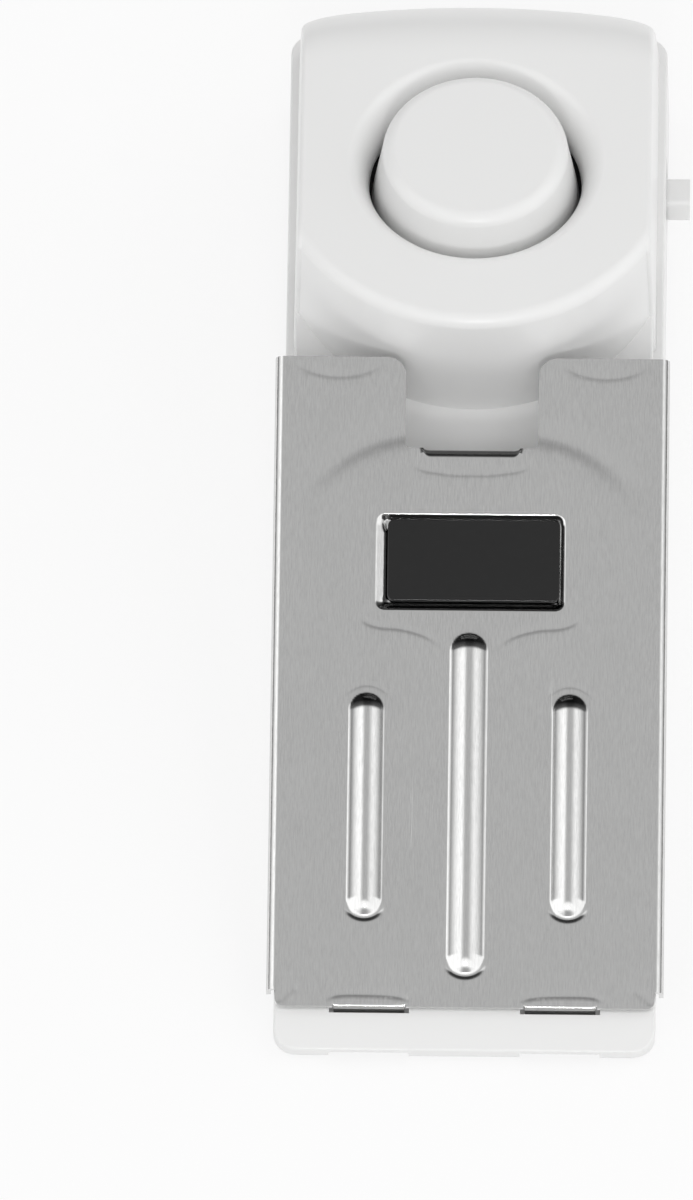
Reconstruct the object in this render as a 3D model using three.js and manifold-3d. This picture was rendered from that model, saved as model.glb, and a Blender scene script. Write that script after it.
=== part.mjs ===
// A wedge-shaped door stop alarm with a sprung steel contact plate, in millimetres.
// x runs across the wedge, y from the nose to the siren head, and z up from the floor it rests on.
import * as THREE from "three";
import { mergeVertices } from "three/addons/utils/BufferGeometryUtils.js";
import Module from "manifold-3d";

const wasm = await Module();
wasm.setup();

// Driving dimensions of the housing
const length = 144;
const noseHalfWidth = 22.7;
const rearHalfWidth = 23.1;
const padProud = 0.4;
const noseFace = 1.6;
const slopeAngle = 11.6;
const wall = 1.8;
const floorThickness = 2.2;
const partingHeight = 13.5;
const ledge = 1;

// Driving dimensions of the siren head
const headSlack = 0.6;
const axisToRear = 37.8;
const sirenMouthRadius = 13;
const sirenMouthDepth = 5.8;
const knobRise = 2.7;

// Driving dimensions of the contact plate
const plateHalfWidth = 23.6;
const plateThickness = 0.55;
const plateSetback = 4.9;
const plateLift = 6;
const plateTravel = 3;
const earClearance = 1.7;
const notchHalfWidth = 7.95;
const notchDepth = 11.4;

// Driving dimensions of the 9 volt battery
const cell = { width: 26.5, height: 17.5, length: 45.7, toRear: 6.7 };

// Clearances and overruns shared by the pieces
const seatGap = 0.3;
const slideGap = 0.35;
const overrun = 1;
const weld = 1e-4;

// Steps on round forms
const arcSteps = 6;
const wideSteps = 56;
const roundSteps = 20;
const smallSteps = 12;

const radians = THREE.MathUtils.degToRad;
const slope = Math.tan(radians(slopeAngle));
const headAxis = length - axisToRear;
const slopeAt = (y) => padProud + noseFace + slope * y;

// Solid making
function solid(geometry) {
  const loose = geometry.index ? geometry.toNonIndexed() : geometry;
  const bare = new THREE.BufferGeometry();
  bare.setAttribute("position", loose.getAttribute("position"));
  const merged = mergeVertices(bare, weld);
  const corners = merged.index.array;
  const kept = [];
  for (let i = 0; i < corners.length; i += 3) {
    const [a, b, c] = corners.slice(i, i + 3);
    if (a !== b && b !== c && c !== a) kept.push(a, b, c);
  }
  const mesh = new wasm.Mesh({
    numProp: 3,
    vertProperties: merged.attributes.position.array,
    triVerts: new Uint32Array(kept),
  });
  return new wasm.Manifold(mesh);
}

const join = (...parts) => parts.reduce((sum, part) => sum.add(part));
const cut = (base, ...tools) => tools.reduce((rest, tool) => rest.subtract(tool), base);
const overlap = (...parts) => parts.reduce((common, part) => common.intersect(part));

function polygon(points) {
  return new THREE.Shape(points.map(([u, v]) => new THREE.Vector2(u, v)));
}

// An outline on the floor plane, raised from low to high
function raised(shape, low, high) {
  const form = { depth: high - low, bevelEnabled: false, curveSegments: arcSteps };
  return new THREE.ExtrudeGeometry(shape, form).translate(0, 0, low);
}

const prism = (shape, low, high) => solid(raised(shape, low, high));

// The same, drawn in sideways at its top by a draft
function drafted(shape, low, high, half, draft) {
  const geometry = raised(shape, low, high);
  const place = geometry.getAttribute("position");
  for (let i = 0; i < place.count; i++) {
    const height = (place.getZ(i) - low) / (high - low);
    place.setX(i, place.getX(i) * (1 - (draft / half) * height));
  }
  return solid(geometry);
}

// A side view in y and z, carried across from x = from to x = to
function acrossGeometry(shape, from, to, steps) {
  const form = { depth: to - from, steps, bevelEnabled: false, curveSegments: arcSteps };
  const axes = [new THREE.Vector3(0, 1, 0), new THREE.Vector3(0, 0, 1), new THREE.Vector3(1, 0, 0)];
  const turn = new THREE.Matrix4().makeBasis(...axes);
  return new THREE.ExtrudeGeometry(shape, form).applyMatrix4(turn).translate(from, 0, 0);
}

const across = (shape, from, to) => solid(acrossGeometry(shape, from, to, 1));

function block(x, y, z) {
  const size = [x, y, z].map(([low, high]) => high - low);
  const middle = [x, y, z].map(([low, high]) => (low + high) / 2);
  return solid(new THREE.BoxGeometry(...size).translate(...middle));
}

// A round form about a vertical axis at (x, y), from points of radius and height
function turned(points, x, y, steps) {
  const profile = points.map(([radius, height]) => new THREE.Vector2(radius, height));
  return solid(new THREE.LatheGeometry(profile, steps).rotateX(Math.PI / 2).translate(x, y, 0));
}

function rod(radius, x, y, low, high, steps) {
  return turned([[0, low], [radius, low], [radius, high], [0, high]], x, y, steps);
}

function ring(inner, outer, x, y, low, high, steps) {
  const points = [[inner, low], [outer, low], [outer, high], [inner, high], [inner, low]];
  return turned(points, x, y, steps);
}

function roundedRectangle(halfX, halfY, radius) {
  const shape = new THREE.Shape();
  const [x, y] = [halfX - radius, halfY - radius];
  shape.absarc(x, y, radius, 0, Math.PI / 2);
  shape.absarc(-x, y, radius, Math.PI / 2, Math.PI);
  shape.absarc(-x, -y, radius, Math.PI, 1.5 * Math.PI);
  shape.absarc(x, -y, radius, 1.5 * Math.PI, 2 * Math.PI);
  return shape;
}

// A strip of sheet seen from the side: the points are its middle line
function ribbon(points, thickness) {
  const line = points.map(([y, z]) => new THREE.Vector2(y, z));
  const side = (sign) =>
    line.map((point, i) => {
      const before = line[Math.max(i - 1, 0)];
      const after = line[Math.min(i + 1, line.length - 1)];
      const into = (point === before ? after.clone().sub(point) : point.clone().sub(before)).normalize();
      const out = (point === after ? into.clone() : after.clone().sub(point)).normalize();
      const along = into.clone().add(out).normalize();
      const reach = (sign * thickness) / 2 / along.dot(into);
      return new THREE.Vector2(point.x - along.y * reach, point.y + along.x * reach);
    });
  return new THREE.Shape([...side(1), ...side(-1).reverse()]);
}

// A round wire along a smooth route
function wire(points, radius, stepCount) {
  const route = new THREE.CatmullRomCurve3(points.map((point) => new THREE.Vector3(...point)));
  const section = new THREE.Shape();
  section.absarc(0, 0, radius, 0, 2 * Math.PI);
  const form = { steps: stepCount, extrudePath: route, curveSegments: 4, bevelEnabled: false };
  return solid(new THREE.ExtrudeGeometry(section, form));
}

// Finishes
const finish = (color, roughness, metalness) => () =>
  new THREE.MeshStandardMaterial({ color, roughness, metalness });
const whitePlastic = finish(0xeeeeec, 0.4, 0);
const brushedSteel = finish(0xb8b8b6, 0.3, 1);
const blackGloss = finish(0x141414, 0.15, 0);
const greyRubber = finish(0x4a4a4c, 0.9, 0);
const blackPlastic = finish(0x1c1c1e, 0.5, 0);
const brass = finish(0xc9a44c, 0.35, 1);
const ceramicWhite = finish(0xe4e0d4, 0.5, 0);
const greenBoard = finish(0x1f5c38, 0.45, 0);
const springSteel = finish(0xa4a6a8, 0.3, 1);
const zincSteel = finish(0xc2c4c6, 0.3, 1);
const darkFoam = finish(0x303032, 1, 0);
const copperEnamel = finish(0x8a4a24, 0.4, 0.6);
const cellJacket = finish(0x2c3138, 0.4, 0.2);
const redSleeve = finish(0xb02020, 0.5, 0);
const blackSleeve = finish(0x18181a, 0.5, 0);

const part = new THREE.Group();
const fromNose = new THREE.Group();
fromNose.position.y = -length / 2;
part.add(fromNose);

function piece(name, form, material) {
  const data = form.getMesh();
  const geometry = new THREE.BufferGeometry();
  geometry.setAttribute("position", new THREE.BufferAttribute(data.vertProperties, 3));
  geometry.setIndex(new THREE.BufferAttribute(data.triVerts, 1));
  geometry.computeVertexNormals();
  const mesh = new THREE.Mesh(geometry, material());
  mesh.name = name;
  fromNose.add(mesh);
}

// The housing's outline seen from above, drawn in by an inset
const noseCornerRadius = 2.8;
const rearCornerRadius = 3;
const rearBulge = 1.7;

function planOutline(inset, start) {
  const shape = new THREE.Shape();
  const taper = (rearHalfWidth - noseHalfWidth) / length;
  const front = noseHalfWidth + taper * start - inset;
  const back = rearHalfWidth - inset;
  const radius = Math.max(noseCornerRadius - inset, seatGap);
  const corner = Math.max(rearCornerRadius - inset, seatGap);
  const end = length - inset;
  shape.absarc(front - radius, start + radius, radius, -Math.PI / 2, 0);
  shape.absarc(back - corner, end - rearBulge - corner, corner, 0, Math.PI / 2);
  shape.quadraticCurveTo(0, end + rearBulge, corner - back, end - rearBulge);
  shape.absarc(corner - back, end - rearBulge - corner, corner, Math.PI / 2, Math.PI);
  shape.absarc(radius - front, start + radius, radius, Math.PI, 1.5 * Math.PI);
  return shape;
}

// Battery bay
const doorRim = 1;
const doorEdge = 0.6;
const doorwayHalf = cell.width / 2 + seatGap;
const cellBase = padProud + floorThickness + seatGap;
const cellTop = cellBase + cell.height;
const cellBack = length - cell.toRear;
const cellFront = cellBack - cell.length;
const stud = { height: 2.8, spacing: 12.7, snapRadius: 2.9, socketRadius: 3.9 };
const snap = { thickness: 4.5, halfWidth: 12.5, halfHeight: 6 };
const studHigh = cellBase + cell.height / 2;
const doorStart = cellFront - stud.height - snap.thickness;

// The siren stands on the battery: foam, holder, ceramic, disc, gasket and the cap that shows
const foam = { thickness: 3.6, halfWidth: 8, halfLong: 9, behindAxis: 14 };
const holder = { base: 1, shelf: 1.1, shelfInner: 12.6, rimInner: 14, rimOuter: 17.2, rimHigh: 1.6, port: 3 };
const disc = { radius: 13.5, thickness: 0.5 };
const ceramic = { radius: 10, thickness: 0.3 };
const gasket = { inner: 12.2, outer: 13.6, thickness: 0.8 };
const cap = { ringInner: 13.5, ringOuter: 16.6, ringThickness: 1.4, topRadius: 11.2, footRadius: 12.5 };
const holderLow = cellTop + seatGap + foam.thickness + seatGap;
const shelfTop = holderLow + holder.base + holder.shelf;
const discLow = shelfTop + seatGap;
const gasketLow = discLow + disc.thickness + seatGap;
const capLow = gasketLow + gasket.thickness + seatGap;
const collarLow = capLow + cap.ringThickness + seatGap;
const earRadius = 2.3;
const earReach = cap.ringOuter + seatGap + earRadius;
const earOffset = earReach * Math.SQRT1_2;
const earPlaces = [-1, 1].map((side) => [side * earOffset, headAxis + side * earOffset]);

// The head is as high and as wide as what it holds
const headHeight = collarLow + sirenMouthDepth;
const headRadius = earReach + earRadius + seatGap + wall + headSlack;

// The contact plate's place: plateAt gives y and z, a distance along its top face from its front edge
// and a height over that face
const plateAngle = radians(slopeAngle + plateLift);
const plateFront = slopeAt(plateSetback) + seatGap + plateThickness / Math.cos(plateAngle);
const plateAt = (along, over) => [
  plateSetback + along * Math.cos(plateAngle) - over * Math.sin(plateAngle),
  plateFront + along * Math.sin(plateAngle) + over * Math.cos(plateAngle),
];
const notchCorner = 2.3;
const earCorner = notchHalfWidth + notchCorner;
const earTip = headAxis - Math.sqrt(headRadius ** 2 - earCorner ** 2) - earClearance;
const plateLength = (earTip - plateSetback) / Math.cos(plateAngle);
const tabAlong = plateLength - notchDepth;
const halfSheet = plateThickness / 2;

// The deck's rear slot takes the plate's catch tab
const deckThickness = 1.6;
const deckStart = 12.3;
const tabHalfWidth = 5.8;
const catchReach = 1.6;
const tabRoot = plateAt(tabAlong - halfSheet, -halfSheet);
const lean = Math.sin(plateAngle) / Math.cos(plateAngle);
const deckUnder = (y) => slopeAt(y) - deckThickness / Math.cos(radians(slopeAngle));
const catchDrop = (tabRoot[1] - deckUnder(tabRoot[0])) / (1 + slope * lean) + seatGap + plateThickness;
const catchKnee = [tabRoot[0] + catchDrop * lean, tabRoot[1] - catchDrop];
const catchTip = [catchKnee[0] - catchReach, catchKnee[1]];

// Front hinge: two hooked tabs drop through slots in the nose
const hingeTab = { centre: 11.35, halfWidth: 4.4, height: 0.8, reach: 3.1, swing: 0.5 };
const hingeKnee = [plateSetback + halfSheet, hingeTab.height];
const hookTip = [hingeKnee[0] - hingeTab.reach, hingeTab.height];
const hookRecess = hingeTab.height + halfSheet + seatGap;

// Screws that hold the shells together
const screw = { head: 2.5, headHeight: 1.5, shank: 1.25, length: 8, cross: 0.5, crossReach: 1.6 };
const bossWall = 1.6;
const frontScrew = { x: 17.9, y: 34 };
const rearScrew = { x: 17.9, y: length - 7 };
const screwPlaces = [frontScrew, rearScrew].flatMap(({ x, y }) => [[-x, y], [x, y]]);
const screwFloor = padProud + seatGap + screw.headHeight;
const bossTop = screwFloor + bossWall;
const bossRadius = 3.2;
const upperBossRadius = 2.9;

// Slide switch in the side of the lower shell
const toggle = { long: 3.9, high: 3.7, proud: 2.7, travel: 3, toRear: 22.2, low: 6.1, flange: 1 };
const toggleAt = length - toggle.toRear;
const toggleBody = { depth: 4.4, long: 12, skirt: 0.4 };
const toggleMiddle = toggleAt + toggle.travel / 2;
const toggleBodyEnds = [toggleMiddle - toggleBody.long / 2, toggleMiddle + toggleBody.long / 2];
const sideAt = (y) => noseHalfWidth + ((rearHalfWidth - noseHalfWidth) * y) / length;
const wallInside = sideAt(toggleAt) - wall;
const toggleReach = toggle.long / 2 + slideGap;
const slotEnds = [toggleAt - toggleReach, toggleAt + toggleReach + toggle.travel];
const slotHeights = [toggle.low - slideGap, toggle.low + toggle.high + slideGap];

// Lower shell: a tub whose side walls follow the slope up to a level parting line
const lowerDraft = 0.25;
const noseBlock = deckStart - seatGap;
const cavityStart = 15;
const rimAt = (y) => deckUnder(y) - seatGap;
const rimLevel = (partingHeight - rimAt(0)) / slope;
const pad = { halfWidth: 14, start: 14, toDoor: 8.3, thickness: 0.9, radius: 3 };
const padEnd = doorStart - pad.toDoor;
const rearPad = { halfWidth: 3.2, long: 40, thickness: 0.9, radius: 1.5 };
const rearPadX = (doorwayHalf + doorRim + sideAt(length)) / 2;
const rearPadEnd = rearScrew.y - bossRadius - overrun;

function padPocket(x, y, halfX, halfY, radius, thickness) {
  const outline = roundedRectangle(halfX + seatGap, halfY + seatGap, radius);
  return solid(raised(outline, padProud - overrun, thickness + seatGap).translate(x, y, 0));
}

const padMiddle = (pad.start + padEnd) / 2;
const padHalf = (padEnd - pad.start) / 2;
const rearPadMiddle = rearPadEnd - rearPad.long / 2;
const board = { halfWidth: 16.5, start: 31, thickness: 1.2, raise: 1.7 };
const boardUnder = padProud + floorThickness + board.raise + seatGap;
const boardTop = boardUnder + board.thickness;
const boardEnd = catchTip[0] - 2 * overrun;
const boardScrew = { head: 1.9, headHeight: 1.1, shank: 0.9, length: 4.2, fromEdge: 4.6 };
const boardScrewPlaces = [
  [frontScrew.x - bossRadius - boardScrew.fromEdge, board.start + boardScrew.fromEdge + overrun],
  [-board.halfWidth + boardScrew.fromEdge, boardEnd - boardScrew.fromEdge],
];
const postRadius = 2.2;

const sideProfile = polygon([
  [0, padProud],
  [length + overrun, padProud],
  [length + overrun, partingHeight],
  [rimLevel, partingHeight],
  [noseBlock, rimAt(noseBlock)],
  [noseBlock, slopeAt(noseBlock)],
  [0, slopeAt(0)],
]);
const tubOutside = overlap(
  across(sideProfile, -rearHalfWidth - overrun, rearHalfWidth + overrun),
  drafted(planOutline(0, 0), padProud, partingHeight, rearHalfWidth, lowerDraft),
);
const floorTop = padProud + floorThickness;
const skirtFoot = partingHeight + seatGap;
const cavity = prism(planOutline(wall, cavityStart), floorTop, partingHeight + overrun);
const slotHalf = hingeTab.halfWidth + slideGap;

function hingeCuts(side) {
  const x = [side * hingeTab.centre - slotHalf, side * hingeTab.centre + slotHalf];
  const shaft = [plateSetback - halfSheet - hingeTab.swing, hingeKnee[0] + halfSheet + hingeTab.swing];
  const under = block(x, [-overrun, shaft[1]], [padProud - overrun, hookRecess]);
  return join(under, block(x, shaft, [padProud - overrun, slopeAt(plateSetback) + overrun]));
}

const doorwayLong = [doorStart, length + overrun];
const doorway = join(
  block([-doorwayHalf, doorwayHalf], doorwayLong, [padProud - overrun, floorTop + overrun]),
  block(
    [-doorwayHalf - doorRim, doorwayHalf + doorRim],
    doorwayLong,
    [floorTop - doorEdge - 2 * seatGap, floorTop + seatGap],
  ),
);

const lowerBosses = screwPlaces.map(([x, y]) =>
  rod(bossRadius, x, y, floorTop - overrun, bossTop, roundSteps),
);
const lowerBores = screwPlaces.flatMap(([x, y]) => [
  rod(screw.shank + seatGap, x, y, padProud, bossTop + overrun, smallSteps),
  rod(screw.head + seatGap, x, y, padProud - overrun, screwFloor, roundSteps),
]);
const boardPosts = boardScrewPlaces.map(([x, y]) =>
  rod(postRadius, x, y, floorTop - overrun / 2, boardUnder - seatGap, smallSteps),
);
const boardBores = boardScrewPlaces.map(([x, y]) =>
  rod(boardScrew.shank + seatGap, x, y, pad.thickness + 2 * seatGap, boardUnder + overrun, smallSteps),
);
const shelf = block(
  [wallInside - toggle.flange - toggleBody.depth - seatGap, wallInside + overrun / 2],
  toggleBodyEnds,
  [floorTop - overrun / 2, toggle.low - toggleBody.skirt - seatGap],
);
const toggleSlot = block([wallInside - overrun, rearHalfWidth + overrun], slotEnds, slotHeights);
const toggleRoom = block(
  [wallInside - overrun, wallInside + seatGap],
  [slotEnds[0] - toggle.long, slotEnds[1] + toggle.long],
  [slotHeights[0] - seatGap, slotHeights[1] + seatGap],
);


// A shelf in each rear corner closes the tub where the head above it is drawn in
const cornerShelf = { thickness: 1.2, reach: 4.4 };
const cornerShelves = [-1, 1].map((side) => {
  const x = [side * (rearHalfWidth - cornerShelf.reach), side * rearHalfWidth].sort((a, b) => a - b);
  const low = partingHeight - cornerShelf.thickness;
  return cut(
    block(x, [length - rearBulge - cornerShelf.reach, length], [low, partingHeight]),
    rod(upperBossRadius + seatGap, side * rearScrew.x, rearScrew.y, low - overrun, skirtFoot, roundSteps),
  );
});

const lowerShell = cut(
  overlap(join(cut(tubOutside, cavity), ...lowerBosses, ...boardPosts, shelf, ...cornerShelves), tubOutside),
  doorway,
  hingeCuts(-1),
  hingeCuts(1),
  ...lowerBores,
  ...boardBores,
  toggleSlot,
  toggleRoom,
  padPocket(0, padMiddle, pad.halfWidth, padHalf, pad.radius, pad.thickness),
  ...[-1, 1].map((side) => {
    const { halfWidth, long, radius, thickness } = rearPad;
    return padPocket(side * rearPadX, rearPadMiddle, halfWidth, long / 2, radius, thickness);
  }),
);
piece("lower_shell", lowerShell, whitePlastic);

// Upper shell: the sloping deck and the siren head in one moulding
const upperHalf = rearHalfWidth - lowerDraft - ledge;
const upperDraft = 0.75;
const creaseRadius = 1.6;
const rollRadius = 12.8;
const rollTurn = 50;
const rollSetback = 21.3;
const skirtStart = (skirtFoot - deckUnder(0)) / slope;
const headSteps = 14;

function backProfile(inset, low) {
  const turn = radians(rollTurn);
  const roll = [length - rollSetback, headHeight - rollRadius];
  const meet = [roll[0] + rollRadius * Math.sin(turn), roll[1] + rollRadius * Math.cos(turn)];
  const foot = [length - ledge, skirtFoot];
  const chord = Math.hypot(foot[0] - meet[0], meet[1] - foot[1]);
  const chordTurn = Math.atan2(meet[1] - foot[1], foot[0] - meet[0]);
  const backRadius = chord / (2 * Math.sin(chordTurn - turn));
  const centre = [meet[0] - backRadius * Math.sin(turn), meet[1] - backRadius * Math.cos(turn)];
  const shape = new THREE.Shape();
  shape.moveTo(headAxis, low);
  shape.lineTo(headAxis, headHeight - inset);
  shape.absarc(...roll, rollRadius - inset, Math.PI / 2, Math.PI / 2 - turn, true);
  const end = Math.asin((low - centre[1]) / (backRadius - inset));
  shape.absarc(...centre, backRadius - inset, Math.PI / 2 - turn, end, true);
  return shape;
}

// How far the head's back is drawn in at a share of its half width
const headBow = 2.7;
const headCorner = 1.4;
const cornerPower = 12;
const drawIn = (share) => headBow * share ** 2 + headCorner * share ** cornerPower;

function headForm(inset, low) {
  const top = headHeight - inset;
  const radius = headRadius - inset;
  const crease = Math.max(creaseRadius - inset, seatGap);
  const edge = [0, 1, 2, 3].map((i) => {
    const turn = (i * Math.PI) / 6;
    return [radius - crease + crease * Math.cos(turn), top - crease + crease * Math.sin(turn)];
  });
  const front = turned([[0, low], [radius, low], ...edge, [0, top]], 0, headAxis, wideSteps);
  const side = upperHalf - inset;
  const back = acrossGeometry(backProfile(inset, low), -side, side, headSteps);
  const place = back.getAttribute("position");
  for (let i = 0; i < place.count; i++) {
    const share = Math.sin((place.getX(i) / side) * (Math.PI / 2));
    const beyond = Math.max(place.getY(i) - headAxis, 0) / (length - headAxis);
    place.setX(i, share * side);
    place.setY(i, place.getY(i) - drawIn(share) * beyond);
  }
  const limits = polygon([
    [-side, headAxis - headRadius - overrun],
    [side, headAxis - headRadius - overrun],
    [side, length],
    [-side, length],
  ]);
  const sides = drafted(limits, low - overrun, headHeight + overrun, side, upperDraft);
  return overlap(join(front, solid(back)), sides);
}

const deckSide = upperHalf - (slopeAt(headAxis) - skirtFoot) * (upperDraft / (headHeight - skirtFoot));
const deckOutside = across(
  polygon([
    [deckStart, deckUnder(deckStart)],
    [skirtStart, skirtFoot],
    [headAxis, skirtFoot],
    [headAxis, slopeAt(headAxis)],
    [deckStart, slopeAt(deckStart)],
  ]),
  -deckSide,
  deckSide,
);
const deckInside = across(
  polygon([
    [skirtStart, skirtFoot],
    [skirtStart, skirtFoot - overrun],
    [headAxis, skirtFoot - overrun],
    [headAxis, deckUnder(headAxis)],
  ]),
  wall - deckSide,
  deckSide - wall,
);

const mouthFlare = 2.5;
const mouthFlareDepth = 5;
const collarWall = 1.4;
const flareArc = [0, 1, 2, 3, 4].map((i) => {
  const turn = (i * Math.PI) / 8;
  const radius = sirenMouthRadius + mouthFlare * (1 - Math.cos(turn));
  return [radius, headHeight - mouthFlareDepth * (1 - Math.sin(turn))];
});
const mouthOuter = sirenMouthRadius + mouthFlare;
const mouth = turned(
  [
    [0, collarLow - overrun],
    [sirenMouthRadius, collarLow - overrun],
    ...flareArc,
    [mouthOuter, headHeight + overrun],
    [0, headHeight + overrun],
  ],
  0,
  headAxis,
  wideSteps,
);
const collarOuter = sirenMouthRadius + collarWall;
const collar = rod(collarOuter, 0, headAxis, collarLow, headHeight - wall / 2, wideSteps);

// Spring cup in the deck, square to the slope
const cup = { inner: 3.9, wall: 1.1, depth: 2.4, floor: 1, fromTab: 16.5 };
const cupAlong = tabRoot[0] - cup.fromTab;
const cupAngle = radians(slopeAngle);

function onSlope(geometry) {
  return solid(geometry.rotateX(cupAngle).translate(0, cupAlong, slopeAt(cupAlong)));
}

function slopeRod(radius, low, high, steps) {
  const turning = new THREE.CylinderGeometry(radius, radius, high - low, steps).rotateX(Math.PI / 2);
  return onSlope(turning.translate(0, 0, (low + high) / 2));
}

const cupBody = slopeRod(cup.inner + cup.wall, -cup.depth - cup.floor, -deckThickness / 2, roundSteps);
const cupHole = slopeRod(cup.inner, -cup.depth, overrun, roundSteps);

const tabSlot = block(
  [-tabHalfWidth - slideGap, tabHalfWidth + slideGap],
  [
    tabRoot[0] + (tabRoot[1] - slopeAt(tabRoot[0])) * lean - plateThickness - slideGap,
    catchKnee[0] + plateThickness + slideGap + (catchKnee[1] - plateFront) * Math.sin(radians(plateTravel)),
  ],
  [deckUnder(tabRoot[0]) - overrun, slopeAt(catchKnee[0]) + overrun],
);

const upperBosses = join(
  ...screwPlaces.map(([x, y]) => rod(upperBossRadius, x, y, bossTop + seatGap, headHeight, roundSteps)),
);
const bossRoom = overlap(upperBosses, join(deckOutside, headForm(0, skirtFoot), across(
  polygon([
    [frontScrew.y - 2 * bossRadius, bossTop],
    [length, bossTop],
    [length, skirtFoot + overrun],
    [skirtStart, skirtFoot],
    [frontScrew.y - 2 * bossRadius, deckUnder(frontScrew.y - 2 * bossRadius) + overrun / 2],
  ]),
  -deckSide,
  deckSide,
)));
const upperBores = screwPlaces.map(([x, y]) =>
  rod(screw.shank + seatGap, x, y, bossTop, screwFloor + screw.length + seatGap, smallSteps),
);
const frontBossLimit = across(
  polygon([
    [0, 0],
    [length, 0],
    [length, slopeAt(length) + headHeight],
    [headAxis, slopeAt(headAxis)],
    [0, slopeAt(0)],
  ]),
  -deckSide,
  deckSide,
);

const web = { thickness: 1.4, low: 14.4, places: [4, 24] };
const webs = web.places.flatMap((behind) =>
  [-1, 1].map((side) => {
    const x = [side * (cell.width / 2 + slideGap), side * (upperHalf - wall / 2)].sort((a, b) => a - b);
    const y = [headAxis + behind, headAxis + behind + web.thickness];
    return block(x, y, [web.low, cellTop]);
  }),
);
const earBosses = earPlaces.map(([x, y]) =>
  rod(earRadius, x, y, holderLow + holder.base + seatGap, headHeight - wall / 2, smallSteps),
);
const earScrew = { head: 2, headHeight: 1.2, shank: 1, length: 6 };
const earBores = earPlaces.map(([x, y]) =>
  rod(earScrew.shank + seatGap, x, y, holderLow, holderLow + earScrew.length + seatGap, smallSteps),
);

const upperOutside = join(deckOutside, headForm(0, skirtFoot));
const upperHollow = join(deckInside, headForm(wall, skirtFoot - overrun));
const upperShell = cut(
  join(
    cut(upperOutside, upperHollow),
    overlap(collar, upperOutside),
    overlap(join(...webs), upperOutside),
    overlap(join(...earBosses), upperOutside),
    overlap(bossRoom, frontBossLimit),
    cupBody,
  ),
  mouth,
  cupHole,
  tabSlot,
  ...upperBores,
  ...earBores,
);
piece("upper_shell", upperShell, whitePlastic);

// Contact plate: pressed stainless sheet with side flanges, raised ribs and a pocket for the name plate
const bendRadius = 1;
const flange = { start: 2.1, front: 2.6, rear: 6.8 };
const sheetHalfWidth = 22.55;
const sheetCorner = 0.9;
const rib = { halfWidth: 2.32, rise: 0.95, spacing: 12.1 };
const middleRib = { start: 4.25, toPocket: 2.8 };
const sideRib = { start: 11.3, toPocket: 10.5 };
const pocket = { halfWidth: 11.75, long: 12.9, toNotch: 7.7, depth: 0.8, wallRun: 0.7, corner: 1.2 };
const pocketTo = tabAlong - pocket.toNotch;
const pocketFrom = pocketTo - pocket.long;
const ribEnds = [
  { x: -rib.spacing, from: sideRib.start, to: pocketFrom - sideRib.toPocket },
  { x: 0, from: middleRib.start, to: pocketFrom - middleRib.toPocket },
  { x: rib.spacing, from: sideRib.start, to: pocketFrom - sideRib.toPocket },
];
const ribCapSteps = 5;
const ribTurnSteps = 20;

const layPlate = new THREE.Matrix4()
  .makeTranslation(0, plateSetback, plateFront)
  .multiply(new THREE.Matrix4().makeRotationX(plateAngle));

function bentOutline(inset) {
  const [half, radius] = [plateHalfWidth - inset, bendRadius - inset];
  const shape = new THREE.Shape();
  shape.moveTo(half, -flange.rear - overrun);
  shape.lineTo(half, -bendRadius);
  shape.absarc(half - radius, -bendRadius, radius, 0, Math.PI / 2);
  shape.absarc(radius - half, -bendRadius, radius, Math.PI / 2, Math.PI);
  shape.lineTo(-half, -flange.rear - overrun);
  return shape;
}

// Cross-section in x and height, carried along the plate
function alongPlate(shape, from, to) {
  const form = { depth: to - from, bevelEnabled: false, curveSegments: 3 };
  return new THREE.ExtrudeGeometry(shape, form).rotateX(Math.PI / 2).translate(0, to, 0);
}

const sheetBack = plateLength + overrun;
const channel = cut(
  solid(alongPlate(bentOutline(0), flange.start, plateLength)),
  solid(alongPlate(bentOutline(plateThickness), flange.start - overrun, sheetBack)),
);
const flangeLine = solid(
  acrossGeometry(
    polygon([
      [-overrun, -flange.front],
      [sheetBack, -flange.rear],
      [sheetBack, overrun + rib.rise],
      [-overrun, overrun + rib.rise],
    ]),
    -plateHalfWidth - overrun,
    plateHalfWidth + overrun,
    1,
  ),
);

function placedOutline(shape, x, along, low, high) {
  return solid(raised(shape, low, high).translate(x, along, 0));
}

const lipHalf = (flange.start + overrun + sheetCorner) / 2;
const frontSheet = placedOutline(
  roundedRectangle(sheetHalfWidth, lipHalf, sheetCorner),
  0,
  lipHalf,
  -plateThickness,
  0,
);
const notchHalf = (notchDepth + overrun) / 2;
const notchCut = placedOutline(
  roundedRectangle(notchHalfWidth, notchHalf, plateThickness),
  0,
  plateLength - notchDepth + notchHalf,
  -flange.rear,
  overrun,
);

// The notch opens out at the ears' tips in a quarter round
function notchEase(side) {
  const shape = new THREE.Shape();
  shape.moveTo(0, 0);
  shape.lineTo(0, -notchCorner);
  shape.absarc(notchCorner, -notchCorner, notchCorner, Math.PI, Math.PI / 2, true);
  const geometry = raised(shape, -flange.rear, overrun);
  if (side < 0) geometry.rotateY(Math.PI).translate(0, 0, overrun - flange.rear);
  return solid(geometry.translate(side * notchHalfWidth, plateLength, 0));
}

function capsule(x, from, to, halfWidth, rise, low, high) {
  const middle = to - from - 2 * halfWidth;
  const geometry = new THREE.CapsuleGeometry(halfWidth, middle, ribCapSteps, ribTurnSteps);
  geometry.scale(1, 1, rise / halfWidth).translate(x, (from + to) / 2, 0);
  const reach = halfWidth + overrun;
  const limit = block([x - reach, x + reach], [from - overrun, to + overrun], [low, high]);
  return overlap(solid(geometry), limit);
}

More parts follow.
